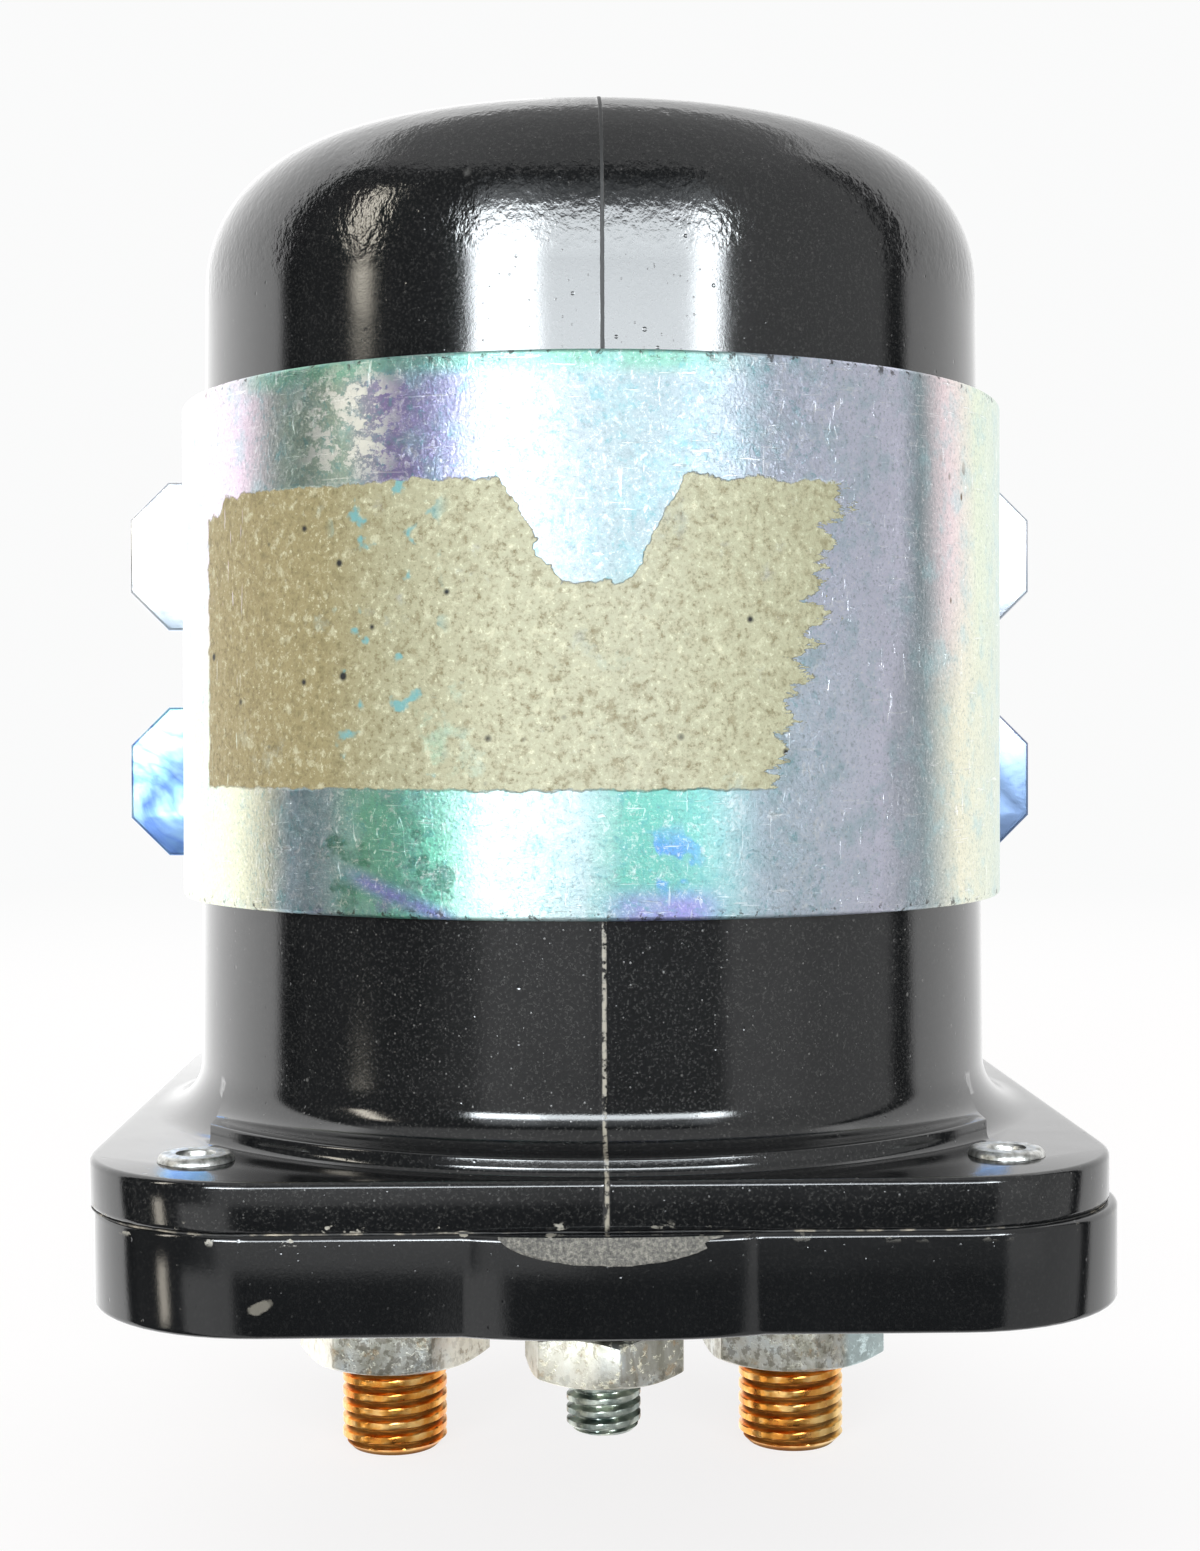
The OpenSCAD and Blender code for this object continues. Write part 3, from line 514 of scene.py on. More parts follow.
def phenolic(name, peel_from):
    """Glossy black resin with grey filler specks. Above one height its skin has an orange peel."""
    material, shader, place = start_finish(name)
    x, y, z = place.split()
    dust = specks(place, 0.42, 0.07, 0.4)
    fine = specks(place, 1.3, 0.13, 0.4)
    coarse = specks(place, 4.2, 0.3, 0.12)
    grain = cloud(place, 0.2, 3, 0.8)
    patch = cloud(place, 9, 3, 0.6)
    low_wall = z.within(-34, -15, 5)
    on_can = z.rise(joint_z - 0.1, joint_z + 0.1)
    grey = (dust * (0.2 + 0.25 * low_wall) + fine * (0.22 + 0.25 * low_wall) * patch.rise(0.4, 0.6)
            + coarse * 0.3 + grain.rise(0.5, 0.66) * (0.1 + 0.03 * low_wall)) * (0.3 + 0.7 * on_can)
    resin = patch.between((0.0025, 0.0027, 0.003), (0.0065, 0.0068, 0.0072))
    worn = resin.blend((0.16, 0.155, 0.145), grey)
    beside = abs(x - axis.x + 0.06 * (cloud(place, 0.8, 2) - 0.5))
    above = z.rise(-5, 5)
    groove = (1 - beside.rise(0.09, 0.14)) * above * (1 - (z - dome_top + 0.6).rise(0, 0.5))
    chalk = (1 - beside.rise(0.07, 0.19)) * (1 - above) * cloud(place, 0.5, 3, 0.6).rise(0.38, 0.56) * on_can
    worn = worn.blend((0.012, 0.012, 0.012), groove).blend((0.24, 0.215, 0.17), chalk)
    chips = cloud(stretched(place, 1, 1, 1.6), 1.6, 4, 0.6).rise(0.62, 0.67) * (1 - x.rise(-2, 8) * 0.8)
    chips = chips * z.within(joint_z - 0.6, joint_z + 0.6, 0.2)
    scuff = cloud(place, 2.6, 4, 0.65).rise(0.62, 0.72) * (1 - z.rise(-43.6, -43.0))
    nick_x, nick_z, nick_y = -21.3, -41.3, -59
    along, across = x - nick_x, (z - nick_z - (x - nick_x) * 0.3) * 1.7
    nick = 1 - (along * along + across * across + cloud(place, 0.7, 4, 0.65) * 1.3).rise(0.9, 1.3)
    nick = nick * (1 - y.rise(nick_y - 1, nick_y + 1))
    colour = worn.blend((0.26, 0.24, 0.20), chips + scuff * 0.5 + nick * 0.42)
    marks = groove + chalk + chips
    rough = 0.07 + 0.05 * patch + 0.35 * grey + 0.5 * marks
    peel = z.rise(peel_from, peel_from + 2.5)
    skin = (cloud(place, 0.8, 3.0, 0.55) * 0.04 + cloud(place, 0.42, 1.5, 0.5) * 0.014) * peel + grain * 0.004
    pits = specks(place, 0.9, 0.13, 0.35) * -0.012
    waves = cloud(place, 5, 1) * 0.02
    feed(shader, {"IOR": 1.6}, {"Base Color": colour, "Roughness": rough,
                                "Normal": bump(skin + pits + waves - groove * 0.03 + dust * 0.004)})
    return material


fitted(shell, phenolic("black_phenolic_can", 24), ["housing"])


# The square terminal base is the second moulding, of the same resin. It closes the can from below
# and carries the four studs on round bosses. It bulges a little in front of and behind the coil studs.
base_low, base_high = span("terminal_base")
main_low, main_high = span("main_stud_left")
right_low, right_high = span("main_stud_right")
front_low, front_high = span("coil_stud_front")
back_low, back_high = span("coil_stud_back")
main_at = [(main_low + main_high) / 2, (right_low + right_high) / 2]
coil_at = [(front_low + front_high) / 2, (back_low + back_high) / 2]
main_boss_z = span("main_lock_washers")[1].z
coil_boss_z = span("coil_nuts")[1].z
main_boss_r, main_boss_h, coil_boss_r = 8.0, 1.44, 5.4
base_z = main_boss_z + main_boss_h
base_half = (base_high.x - base_low.x) / 2
base_middle = Vector(((base_low.x + base_high.x) / 2, axis.y, 0))
scar_rise = 0.1
bulge_half, bulge_d = 9.35, 1.2 - scar_rise
base = slab("base_moulding", base_middle, base_half, base_z, joint_z, corner_r)
round_edges(base, edge_r, 4, 60)
bulge_steps = 14
slice_at(base, [(base_middle.x + bulge_half * i / bulge_steps, 0, 0)
                for i in range(-bulge_steps, bulge_steps + 1)], (1, 0, 0))
for vertex in base.data.vertices:
    share = abs(vertex.co.x - base_middle.x) / bulge_half
    if share < 1 and abs(vertex.co.y - axis.y) > base_half - 1:
        vertex.co.y += math.copysign(bulge_d * (1 - share ** 3), vertex.co.y - axis.y)


def boss(at, radius, low):
    return turned("boss", [(0, low)] + arc(radius - edge_r, low + edge_r, edge_r, -90, 0, 4)
                  + [(radius, base_z + overrun), (0, base_z + overrun)], at, ((360, 48),))


main_r, coil_r = 3.969, 2.413
neck_w, neck_d = 9.0, 2.0
pocket_r, slot_w, slot_l = 4.6, 3.8, 6.8
well_r, well_d = 5.2, 2.3
lug_z = span("coil_lugs")[0].z
cut_z = joint_z + overrun
for at in main_at:
    carve(base, boss(at, main_boss_r, main_boss_z), "UNION")
for at in coil_at:
    carve(base, boss(at, coil_boss_r, coil_boss_z), "UNION")
for at in main_at:
    carve(base, plug(at, main_r + play, main_boss_z - overrun, cut_z))
    carve(base, block((at.x, at.y, joint_z), (neck_w + 2 * play, neck_w + 2 * play, 2 * neck_d)))
for at, inward in zip(coil_at, (1, -1)):
    carve(base, plug(at, coil_r + play, coil_boss_z - overrun, cut_z))
    carve(base, plug(at, pocket_r, lug_z, cut_z))
    carve(base, block((at.x, at.y + inward * slot_l / 2, joint_z), (slot_w, slot_l, 2 * (joint_z - lug_z))))
for corner in corners:
    carve(base, plug(corner, rivet_r + play, base_z - overrun, cut_z, 32))
carve(base, plug(axis, well_r, joint_z - well_d, cut_z))
fitted(base, phenolic("black_phenolic_base", 100), ["terminal_base"])


# Resin that was squeezed out between the mould's halves stands as a thin broken fin along the joint.
# Where the gate was snapped off, under it in front, the resin is rough and grey.
def rim_point(share, half, corner):
    """A point on a rounded square, and the way out there, for a share of the way round."""
    turn = 2 * math.pi * share
    way = Vector((math.sin(turn), -math.cos(turn), 0))
    spot = way * (half / max(abs(way.x), abs(way.y)))
    middle = half - corner
    if abs(spot.x) > middle and abs(spot.y) > middle:
        centre = Vector((math.copysign(middle, spot.x), math.copysign(middle, spot.y), 0))
        out = (spot - centre).normalized()
        return centre + out * corner, out
    if abs(way.x) > abs(way.y):
        return spot, Vector((math.copysign(1, way.x), 0, 0))
    return spot, Vector((0, math.copysign(1, way.y), 0))


def mottled(name, fixed, tone, grain, stops, rough, gain, relief):
    """A finish whose colour follows one noise, and whose gloss and relief follow another, each
    given by its size, detail and roughness."""
    material, shader, place = start_finish(name)
    tone, grain = cloud(place, *tone), cloud(place, *grain)
    feed(shader, fixed, {"Base Color": tone.ramp(0.3, 0.7, stops), "Roughness": rough + gain * grain,
                         "Normal": bump(grain * relief)})
    return material


fin_steps, fin_t, fin_root, fin_sink = 480, 0.1, 0.7, 0.12
fresh()
bpy.ops.mesh.primitive_circle_add(vertices=fin_steps, radius=1)
fin = named("joint_flash")
edit_all(fin)
bpy.ops.mesh.extrude_region_move()
fresh()
for i, vertex in enumerate(fin.data.vertices):
    spot, out = rim_point((i % fin_steps) / fin_steps, flange_half, corner_r)
    at = Vector((axis.x, axis.y, joint_z)) + spot
    chips = max(0.0, 0.16 * ragged(at, 1.1) + 0.14 * ragged(at, 4.5, 5.0) - 0.02)
    vertex.co = at + out * (-fin_root if i < fin_steps else chips - fin_sink)
    vertex.co.z += 0.05 * ragged(at, 2.2, 2.0)
modify(fin, "SOLIDIFY", thickness=fin_t, offset=0)
closed(fin)
broken = mottled("broken_resin", {"IOR": 1.5}, (1.8, 3, 0.6), (0.3, 3, 0.7),
                 [(0.3, (0.006, 0.006, 0.006)), (0.52, (0.02, 0.019, 0.018)), (0.7, (0.3, 0.26, 0.2))],
                 0.45, 0.3, 0.05)
fitted(fin, broken, smooth=30)

scar_half, scar_depth, scar_t, scar_shift, scar_drop = 6.9, 1.9, 0.3, 0.2, 0.05
fresh()
bpy.ops.mesh.primitive_grid_add(x_subdivisions=90, y_subdivisions=18, size=2)
scar = named("gate_scar")
for vertex in scar.data.vertices:
    u, v = vertex.co.x, (1 - vertex.co.y) / 2
    share = abs(u) * scar_half / bulge_half
    face_y = axis.y - base_half - bulge_d * (1 - share ** 3)
    edge = min(1.0, 6 * v, 6 * (1 - v), 5 * (1 - abs(u)))
    at = Vector((base_middle.x - scar_shift + u * scar_half, face_y,
                 joint_z - scar_drop - v * scar_depth * max(0.02, 1 - u * u) ** 0.6))
    rough = 0.05 * ragged(at, 0.35) + 0.05 * ragged(at, 1.1, 4.0)
    at.y = max(at.y + 0.05 - edge * (0.1 + 0.6 * rough), base_low.y)
    vertex.co = at
modify(scar, "SOLIDIFY", thickness=scar_t, offset=-1)
closed(scar)
snapped = mottled("snapped_gate", {"IOR": 1.5}, (0.22, 4, 0.75), (0.22, 4, 0.75),
                  [(0.3, (0.015, 0.014, 0.013)), (0.48, (0.085, 0.08, 0.07)), (0.7, (0.24, 0.225, 0.19))],
                  0.4, 0.4, 0.08)
fitted(scar, snapped, smooth=30)


# Four semi-tubular steel rivets hold base and flange together at the corners.
# Each has a low head under the base, and its hollow end is rolled over on the flange.
def joined(pieces, name):
    """Like pieces, made one."""
    fresh()
    for piece in pieces:
        piece.select_set(True)
    bpy.context.view_layer.objects.active = pieces[0]
    bpy.ops.object.join()
    pieces[0].name = name
    return pieces[0]


rivet_top, head_low = flange_z + rivet_rise, rivet_low.z
hollow_r, hollow_edge, roll_r, lip_r, lip_at, lip_foot_r = 1.18, 0.3, 0.65, 0.55, 1.95, 2.42
rivet_edge_r, rivet_bend = 0.35, 0.45
roll_z = rivet_top - hollow_edge
hollow = [(0, 3.0), (0.9, 2.7), (1.1, 0.7), (hollow_r, hollow_edge)]
rivet_outline = ([(r, rivet_top - depth) for r, depth in hollow]
                 + arc(hollow_r + roll_r, roll_z, roll_r, 180, 90, 5)[1:]
                 + arc(lip_at, flange_z + 0.02, lip_r, 70, 0, 5)
                 + [(lip_foot_r, flange_z), (rivet_r, flange_z), (rivet_r, base_z),
                    (rivet_head_r - 0.1, base_z)]
                 + arc(rivet_head_r - rivet_edge_r, head_low + rivet_bend, rivet_edge_r, 0, -80, 4)
                 + [(rivet_r, head_low), (0, head_low)])
rivet_outline = [(r, min(level, rivet_top)) for r, level in rivet_outline]
rivets = []
for i, corner in enumerate(corners):
    rivet = turned("rivet", rivet_outline, corner, ((360, 56),))
    for vertex in rivet.data.vertices:
        if vertex.co.z > flange_z + 0.05:
            dent = ragged(vertex.co, 0.9, 3.0 * i) * 0.06 + ragged(vertex.co, 0.35, i) * 0.02
            away = Vector((vertex.co.x - corner.x, vertex.co.y - corner.y, 0)).normalized()
            vertex.co += away * dent
            vertex.co.z = min(rivet_top, vertex.co.z - abs(dent) * 0.6)
    rivets.append(rivet)
dull, dull_shader, dull_place = start_finish("dull_rivet_steel")
rub = cloud(dull_place, 0.5, 4, 0.6)
tarnish = rub.ramp(0.3, 0.7, [(0.3, (0.22, 0.22, 0.2)), (0.5, (0.5, 0.5, 0.48)), (0.7, (0.72, 0.72, 0.7))])
feed(dull_shader, {"Metallic": 1.0}, {"Base Color": tarnish, "Normal": bump(rub * 0.03),
                                      "Roughness": 0.25 + 0.3 * cloud(dull_place, 0.9)})
fitted(joined(rivets, "rolled_rivets"), dull, ["corner_rivets"])


# The mounting band is a zinc plated steel strap bent round the can, with its ends at the back.
# Its passivation shows pale rainbow colours, painted together with reflections of the room, a painted
# shade on its front and painted glints, and the paper of a torn-off label is left on its front.
def rounded_bar(inner, outer, low, high, edge, steps):
    """The outline of a flat bar that is bent round an axis: a rectangle with round corners."""
    ends = [(outer - edge, high - edge), (inner + edge, high - edge), (inner + edge, low + edge),
            (outer - edge, low + edge)]
    return [point for i, (r, level) in enumerate(ends)
            for point in arc(r, level, edge, 90 * i, 90 * i + 90, steps)]


band_low, band_high = span("mounting_band")
band_r = (band_high.x - band_low.x) / 2
band_t, band_gap, band_edge = 1.35, 1.0, 0.3
band_half = (band_high.z - band_low.z) / 2
gap_turn = math.degrees(band_gap / 2 / band_r)
band = turned("strap", rounded_bar(band_r - band_t, band_r, -band_half, band_half, band_edge, 4),
              axis, ((360 - 2 * gap_turn, 200),), 180 + gap_turn)


def zinc_tint_with_painted_light(place, z, round_at):
    """The band's colour, with painted light in it, and the masks of its bare flakes and brown stains.
    The colours run round the band in two ramps, one for its upper and one for its lower half. They hold
    the passivation's iridescent tint and painted reflections; a painted shade and painted glints are laid on."""
    ramp_at = round_at + (cloud(stretched(place, 1, 1, 0.35), 7, 2, 0.5) - 0.5) * 7
    # Painted reflections in the ramps: lighter towards the sides, where the white table is reflected, darker
    # from about -45 degrees inwards, where the dark room is reflected, and a dark stripe near 44 degrees.
    upper = ramp_at.ramp(-85, 85, [
        (-85, (0.50, 0.60, 0.52)), (-66, (0.72, 0.66, 0.68)), (-52, (0.78, 0.62, 0.74)),
        (-45, (0.46, 0.47, 0.47)), (-41, (0.42, 0.54, 0.46)), (-33, (0.38, 0.50, 0.44)),
        (-27, (0.34, 0.28, 0.56)), (-18, (0.42, 0.42, 0.64)), (-10, (0.54, 0.58, 0.62)),
        (2, (0.42, 0.50, 0.52)), (12, (0.42, 0.50, 0.54)), (24, (0.70, 0.74, 0.88)),
        (40, (0.82, 0.83, 0.98)), (44, (0.30, 0.37, 0.40)), (50, (0.82, 0.68, 0.70)),
        (60, (0.72, 0.78, 0.62)), (80, (0.52, 0.66, 0.60))])
    lower = ramp_at.ramp(-85, 85, [
        (-85, (0.62, 0.68, 0.56)), (-58, (0.76, 0.78, 0.58)), (-47, (0.62, 0.62, 0.48)),
        (-42, (0.44, 0.56, 0.64)), (-36, (0.40, 0.54, 0.60)), (-31, (0.22, 0.52, 0.38)),
        (-26, (0.24, 0.62, 0.46)), (-20, (0.30, 0.86, 0.64)), (-14, (0.62, 0.80, 0.76)),
        (-3, (0.66, 0.78, 0.80)), (3, (0.20, 0.60, 0.48)), (11, (0.26, 0.62, 0.56)),
        (20, (0.66, 0.78, 0.88)), (38, (0.84, 0.85, 1.00)), (45, (0.36, 0.43, 0.46)),
        (54, (0.80, 0.78, 0.62)), (80, (0.52, 0.66, 0.56))])
    edge_up = z.rise(band_half - 1.9, band_half - 0.6)
    edge_down = 1 - z.rise(0.8 - band_half, 2.6 - band_half)
    front = round_at.within(-50, 30, 6)
    blot = cloud(stretched(place, 1, 1, 1.5), 4.2, 4, 0.65)
    crackle = cloud(stretched(place, 1, 1, 0.8), 0.7, 5, 0.8, 0.5)
    painted_glints = cloud(place, 0.26, 3, 0.8)
    flakes = cloud(stretched(place, 1, 1, 1.4), 1.6, 6, 0.75).rise(0.5, 0.54)
    brown = specks(stretched(place, 1, 1, 0.6), 1.1, 0.3, 0.55)
    brown = brown * round_at.within(48, 56, 1.5) * z.within(-2, 12, 2)
    rim_dirt = cloud(place, 0.6, 3, 0.7).rise(0.58, 0.64) * abs(z).rise(band_half - 0.9, band_half - 0.3)
    band_colour_with_painted_light = lower.blend(upper, z.rise(-6, 6)).under(
        ((0.22, 0.56, 0.40), edge_up * round_at.within(-50, 14, 8) * 0.75),
        ((0.07, 0.24, 0.16), blot.rise(0.54, 0.62) * round_at.within(-40, -15, 4)
         * z.within(-18, -10.5, 1) * 0.75),
        ((0.26, 0.20, 0.52), (1 - blot.rise(0.36, 0.46)) * round_at.within(-38, -22, 3) * edge_down * 0.8),
        ((0.34, 0.36, 0.80), (z + round_at * 0.2).within(-22.2, -21.2, 0.6) * round_at.within(-32, -18, 3)),
        ((0.42, 0.30, 0.78), edge_down * round_at.within(1, 13, 3) * 0.8),
        ((0.14, 0.40, 0.86), cloud(place, 1.8, 2).rise(0.52, 0.6) * round_at.within(4, 11, 2)
         * z.within(-16, -12.5, 1)),
        ((0.40, 0.62, 0.66), cloud(place, 2.6, 4, 0.7).rise(0.46, 0.7) * 0.5),
        ((0.16, 0.46, 0.50), (1 - crackle.rise(0.36, 0.46)) * 0.5 * front),
        ((0.98, 1.0, 1.0), crackle.rise(0.55, 0.64) * 0.45 * front),
        # Painted glints: fine white specks with darker grain between them, laid into the colour.
        ((0.22, 0.30, 0.32), (1 - painted_glints.rise(0.3, 0.5)) * 0.5),
        ((1, 1, 1), painted_glints.rise(0.56, 0.7) * 0.5),
        # Painted shade: black over the front of the band, most in its middle, against the window strip's
        # glare.
        ((0.0, 0.0, 0.0), 0.12 * round_at.within(-50, 26, 6) + 0.16 * round_at.within(-12, 22, 4)),
        ((0.74, 0.77, 0.76), flakes * round_at.within(-39, -26, 3) * z.within(10.5, 17, 1.5)),
        ((0.14, 0.09, 0.05), brown),
        ((0.06, 0.055, 0.05), rim_dirt * 0.8))
    return band_colour_with_painted_light, flakes, brown


def torn_label(place, z, round_at):
    """The label's paper and glue: their colour, where they cover the zinc, and their two scales of
    relief. The patch has a bite in its upper edge and a torn right side."""
    tear = cloud(place, 1.6, 5, 0.65) - 0.5
    shreds = cloud(stretched(place, 0.45, 0.45, 1.5), 1.5, 5, 0.7) - 0.5
    bite_at, bite_half, bite_d = -1.3, 10.6, 6.7
    bite = bite_half - abs(round_at - bite_at) * 0.98 + (cloud(place, 2.6, 4, 0.6) - 0.5) * 5
    bite = bite.math("MAXIMUM", bite, 0.0)
    bite = bite.math("MINIMUM", bite, bite_d)
    left, right, low, high = -61.5, 20.6, -9.75, 9.95
    top_edge = high - bite + tear * 1.6 - 1.2 * round_at.within(-64, -57, 1.5)
    right_edge = right + (z + 9.5) * 0.5 + shreds * 17
    paper = ((round_at + tear * 3).rise(left - 0.3, left + 0.3) * (z + tear * 0.9).rise(low - 0.1, low + 0.1)
             * (1 - (z - top_edge).rise(0, 0.18)) * (1 - (round_at - right_edge).rise(0, 0.6)))
    strays = cloud(place, 1.0, 4, 0.7).rise(0.66, 0.69) * round_at.within(20, 36, 3) * z.within(-2, 9, 2)
    pulp = cloud(place, 0.42, 4, 0.75)
    clump = cloud(place, 0.85, 4, 0.72)
    stain = round_at.ramp(-62, 30, [
        (-62, (0.32, 0.26, 0.13)), (-48, (0.27, 0.22, 0.108)), (-36, (0.25, 0.21, 0.105)),
        (-26, (0.30, 0.285, 0.18)), (-12, (0.38, 0.37, 0.26)), (4, (0.37, 0.36, 0.26)),
        (14, (0.36, 0.35, 0.24)), (30, (0.32, 0.31, 0.20))])
    rust = specks(place, 5.3, 0.6, 0.35) * 0.7 * (1 - round_at.rise(-40, -25))
    show = cloud(place, 1.8, 3).rise(0.6, 0.68) * round_at.within(-34, -20, 2) * 0.8
    fibre = stain.under(
        ((0.12, 0.095, 0.04), (1 - pulp.rise(0.3, 0.5)) * 0.75),
        ((0.15, 0.12, 0.055), (1 - clump.rise(0.34, 0.48)) * 0.5),
        ((0.60, 0.58, 0.42), clump.rise(0.54, 0.68) * 0.42),
        ((0.85, 0.83, 0.62), pulp.rise(0.56, 0.7) * 0.45),
        ((0.012, 0.012, 0.012), specks(place, 2.4, 0.3, 0.35)),
        ((0.45, 0.22, 0.05), rust), ((0.10, 0.30, 0.32), show))
    rubbed = cloud(stretched(place, 3.2, 3.2, 0.28), 1.0, 2, 0.5).rise(0.66, 0.69)
    rubbed = rubbed * round_at.within(-60, -52, 2)
    laid = paper * (1 - 0.85 * rubbed) * (0.8 + 0.2 * cloud(place, 4.5, 5, 0.7).rise(0.3, 0.4))
    return fibre, laid.math("MAXIMUM", laid, strays), pulp, clump


plated, plated_shader, place = start_finish("iridescent_zinc_with_painted_light")
x, y, z = place.split()
round_at = x.math("ARCTAN2", x - axis.x, axis.y - y) * math.degrees(1)
# The band's colour holds painted reflections, a painted shade on the front and painted glints.
band_colour_with_painted_light, flakes, brown = zinc_tint_with_painted_light(place, z, round_at)
hairs = cloud(stretched(place, 0.3, 0.3, 3.5), 1.1, 3, 0.7, 0.3)
slants = cloud(stretched(place, 2.4, 2.4, 0.5), 1.6, 2, 0.6, 1.5)
scratches = hairs.rise(0.64, 0.67) + slants.rise(0.68, 0.7)
band_colour_with_painted_light = band_colour_with_painted_light.blend((0.95, 0.97, 0.98), scratches * 0.35)
fibre, cover, pulp, clump = torn_label(place, z, round_at)
matt_share = cover * (0.9 - 0.35 * pulp.rise(0.5, 0.7)) + brown * 0.9
shine = 0.38 + 0.08 * cloud(place, 3, 3) - 0.12 * scratches
relief = (cloud(place, 0.22, 2, 0.6) * 0.02 + hairs * 0.008 - scratches * 0.012
          + cover * (0.05 + pulp * 0.09 + clump * 0.05) - flakes * 0.004)
feed(plated_shader, {"Anisotropic": 0.8, "Anisotropic Rotation": 0.25},
     {"Base Color": band_colour_with_painted_light.blend(fibre, cover), "Metallic": 1 - matt_share,
      "Roughness": shine + matt_share * (0.72 - shine), "Normal": bump(relief)})
fitted(band, plated, ["mounting_band"])


# The bracket plate is pressed from sheet steel: a flat web, welded to the band's back, and four
# chamfered ears with the panel holes, which stand further back than the web.
plate_low, plate_high = span("mounting_plate")
plate_t = 1.9
joggle_d = plate_high.y - plate_low.y - plate_t
ear_w, ear_h = plate_high.x, plate_high.z
chamfer, notch_half, notch_x = 3.45, 3.5, 29.0
web_half, slope_w, bend_half, plate_edge, drill_l = 13.0, 4.0, 0.6, 0.28, 20
hole_x, hole_z, hole_r = 33.35, 10.25, 2.6
quarter = [(ear_w - chamfer, ear_h), (ear_w, ear_h - chamfer), (ear_w, notch_half + chamfer),
           (ear_w - chamfer, notch_half), (notch_x, notch_half)]
outline = (quarter + [(a, -b) for a, b in reversed(quarter)] + [(-a, -b) for a, b in quarter]
           + [(-a, b) for a, b in reversed(quarter)])
fresh()
bpy.ops.mesh.primitive_circle_add(vertices=len(outline), radius=1, fill_type="NGON")
plate = named("ear_plate")
for vertex, (a, b) in zip(plate.data.vertices, outline):
    vertex.co = (a, -plate_t, b)
edit_all(plate)
bpy.ops.mesh.extrude_region_move(TRANSFORM_OT_translate={"value": (0, plate_t, 0)})
closed(plate)
bends = [bend + step for bend in (web_half, web_half + slope_w) for step in (-bend_half, 0, bend_half)]
slice_at(plate, [(s * b, 0, 0) for s in (-1, 1) for b in bends], (1, 0, 0))
for hole in [Vector((sx * hole_x, 0, sz * hole_z)) for sx in (-1, 1) for sz in (-1, 1)]:
    fresh()
    bpy.ops.mesh.primitive_cylinder_add(vertices=48, radius=hole_r, depth=drill_l, location=hole,
                                        rotation=(math.radians(90), 0, 0))
    carve(plate, bpy.context.object)
for vertex in plate.data.vertices:
    inward = min(1.0, max(0.0, (web_half + slope_w - abs(vertex.co.x)) / slope_w))
    vertex.co.y -= joggle_d * inward * inward * (3 - 2 * inward)
round_edges(plate, plate_edge, 3, 50)

ear_finish, ear_shader, place = start_finish("marbled_zinc")
x, y, z = place.split()
vein = cloud(place, 7, 4, 0.55, 0.8)
wavy_z = z + (vein - 0.5) * 16
# The lower ears are coloured blue: curved strokes on the left, and a blue that darkens towards the bottom on
# the right.
low_left = (1 - x.rise(-24, 24)) * (1 - wavy_z.rise(-7, 5))
low_right = x.rise(-24, 24) * (1 - wavy_z.rise(-9, 6))
ear = vein.ramp(0.25, 0.75, [(0.25, (0.46, 0.54, 0.62)), (0.5, (0.60, 0.63, 0.68)),
                             (0.75, (0.66, 0.66, 0.65))])
marble = vein.ramp(0.3, 0.7, [(0.3, (0.08, 0.25, 0.52)), (0.42, (0.26, 0.48, 0.62)),
                              (0.5, (0.12, 0.22, 0.52)), (0.6, (0.34, 0.54, 0.66)),
                              (0.7, (0.24, 0.20, 0.50))])
fade = z.ramp(-17, -3, [(-17, (0.04, 0.12, 0.32)), (-10, (0.08, 0.18, 0.36)), (-3, (0.20, 0.22, 0.40))])
ear = ear.blend(marble, low_left).blend(fade, low_right * (0.6 + 0.4 * vein))
feed(ear_shader, {"Metallic": 1.0}, {"Base Color": ear, "Roughness": 0.3 + 0.15 * cloud(place, 1.5, 3),
                                     "Normal": bump(cloud(place, 0.8, 3) * 0.02)})
fitted(plate, ear_finish, ["mounting_plate"])


# The two main studs are copper, 5/16 inch with 24 threads to the inch. Each has a round head inside,
# which is the fixed contact, and a square neck that locks it in the base.
def threaded(name, at, low, high, radius, root_r, pitch, bevel):
    """A threaded rod: a grid wrapped round the axis, with a helical groove and a tapered free end."""
    around, along = 72, int((high - low) / pitch * 12)
    crest_share, flank_share = 0.42, 0.5
    fresh()
    bpy.ops.mesh.primitive_grid_add(x_subdivisions=around, y_subdivisions=along, size=1)
    rod = named(name)
    for vertex in rod.data.vertices:
        turn = 2 * math.pi * (vertex.co.x + 0.5)
        level = low + (vertex.co.y + 0.5) * (high - low)
        phase = (level / pitch - turn / (2 * math.pi)) % 1
        depth = min(1.0, max(0.0, (abs(2 * phase - 1) - crest_share) / flank_share))
        r = radius - (radius - root_r) * depth * depth * (3 - 2 * depth)
        r = min(r, radius - bevel + (level - low)) + 0.015 * ragged((turn * 3, level, 0), 0.8)
        vertex.co = (at.x + min(r, radius) * math.cos(turn), at.y + min(r, radius) * math.sin(turn), level)
    closed(rod)
    return rod


main_pitch, main_root, main_tip, head_edge_r = 1.058, 3.33, 0.7, 0.5
main_end = main_low.z
contact_z = main_high.z
copper, copper_shader, place = start_finish("stud_copper")
x, y, z = place.split()
side_x = abs(x - axis.x) - abs(main_at[1].x - axis.x)
crest = side_x.hypot(y - axis.y).rise(main_root + 0.1, main_r - 0.15)
old = cloud(place, 1.6, 4, 0.6)
metal = old.ramp(0.3, 0.7, [(0.3, (0.64, 0.21, 0.035)), (0.5, (0.80, 0.35, 0.06)), (0.7, (0.82, 0.45, 0.10))])
green = x.rise(14, 19) * (1 - z.rise(-58.5, -54)) * 0.6
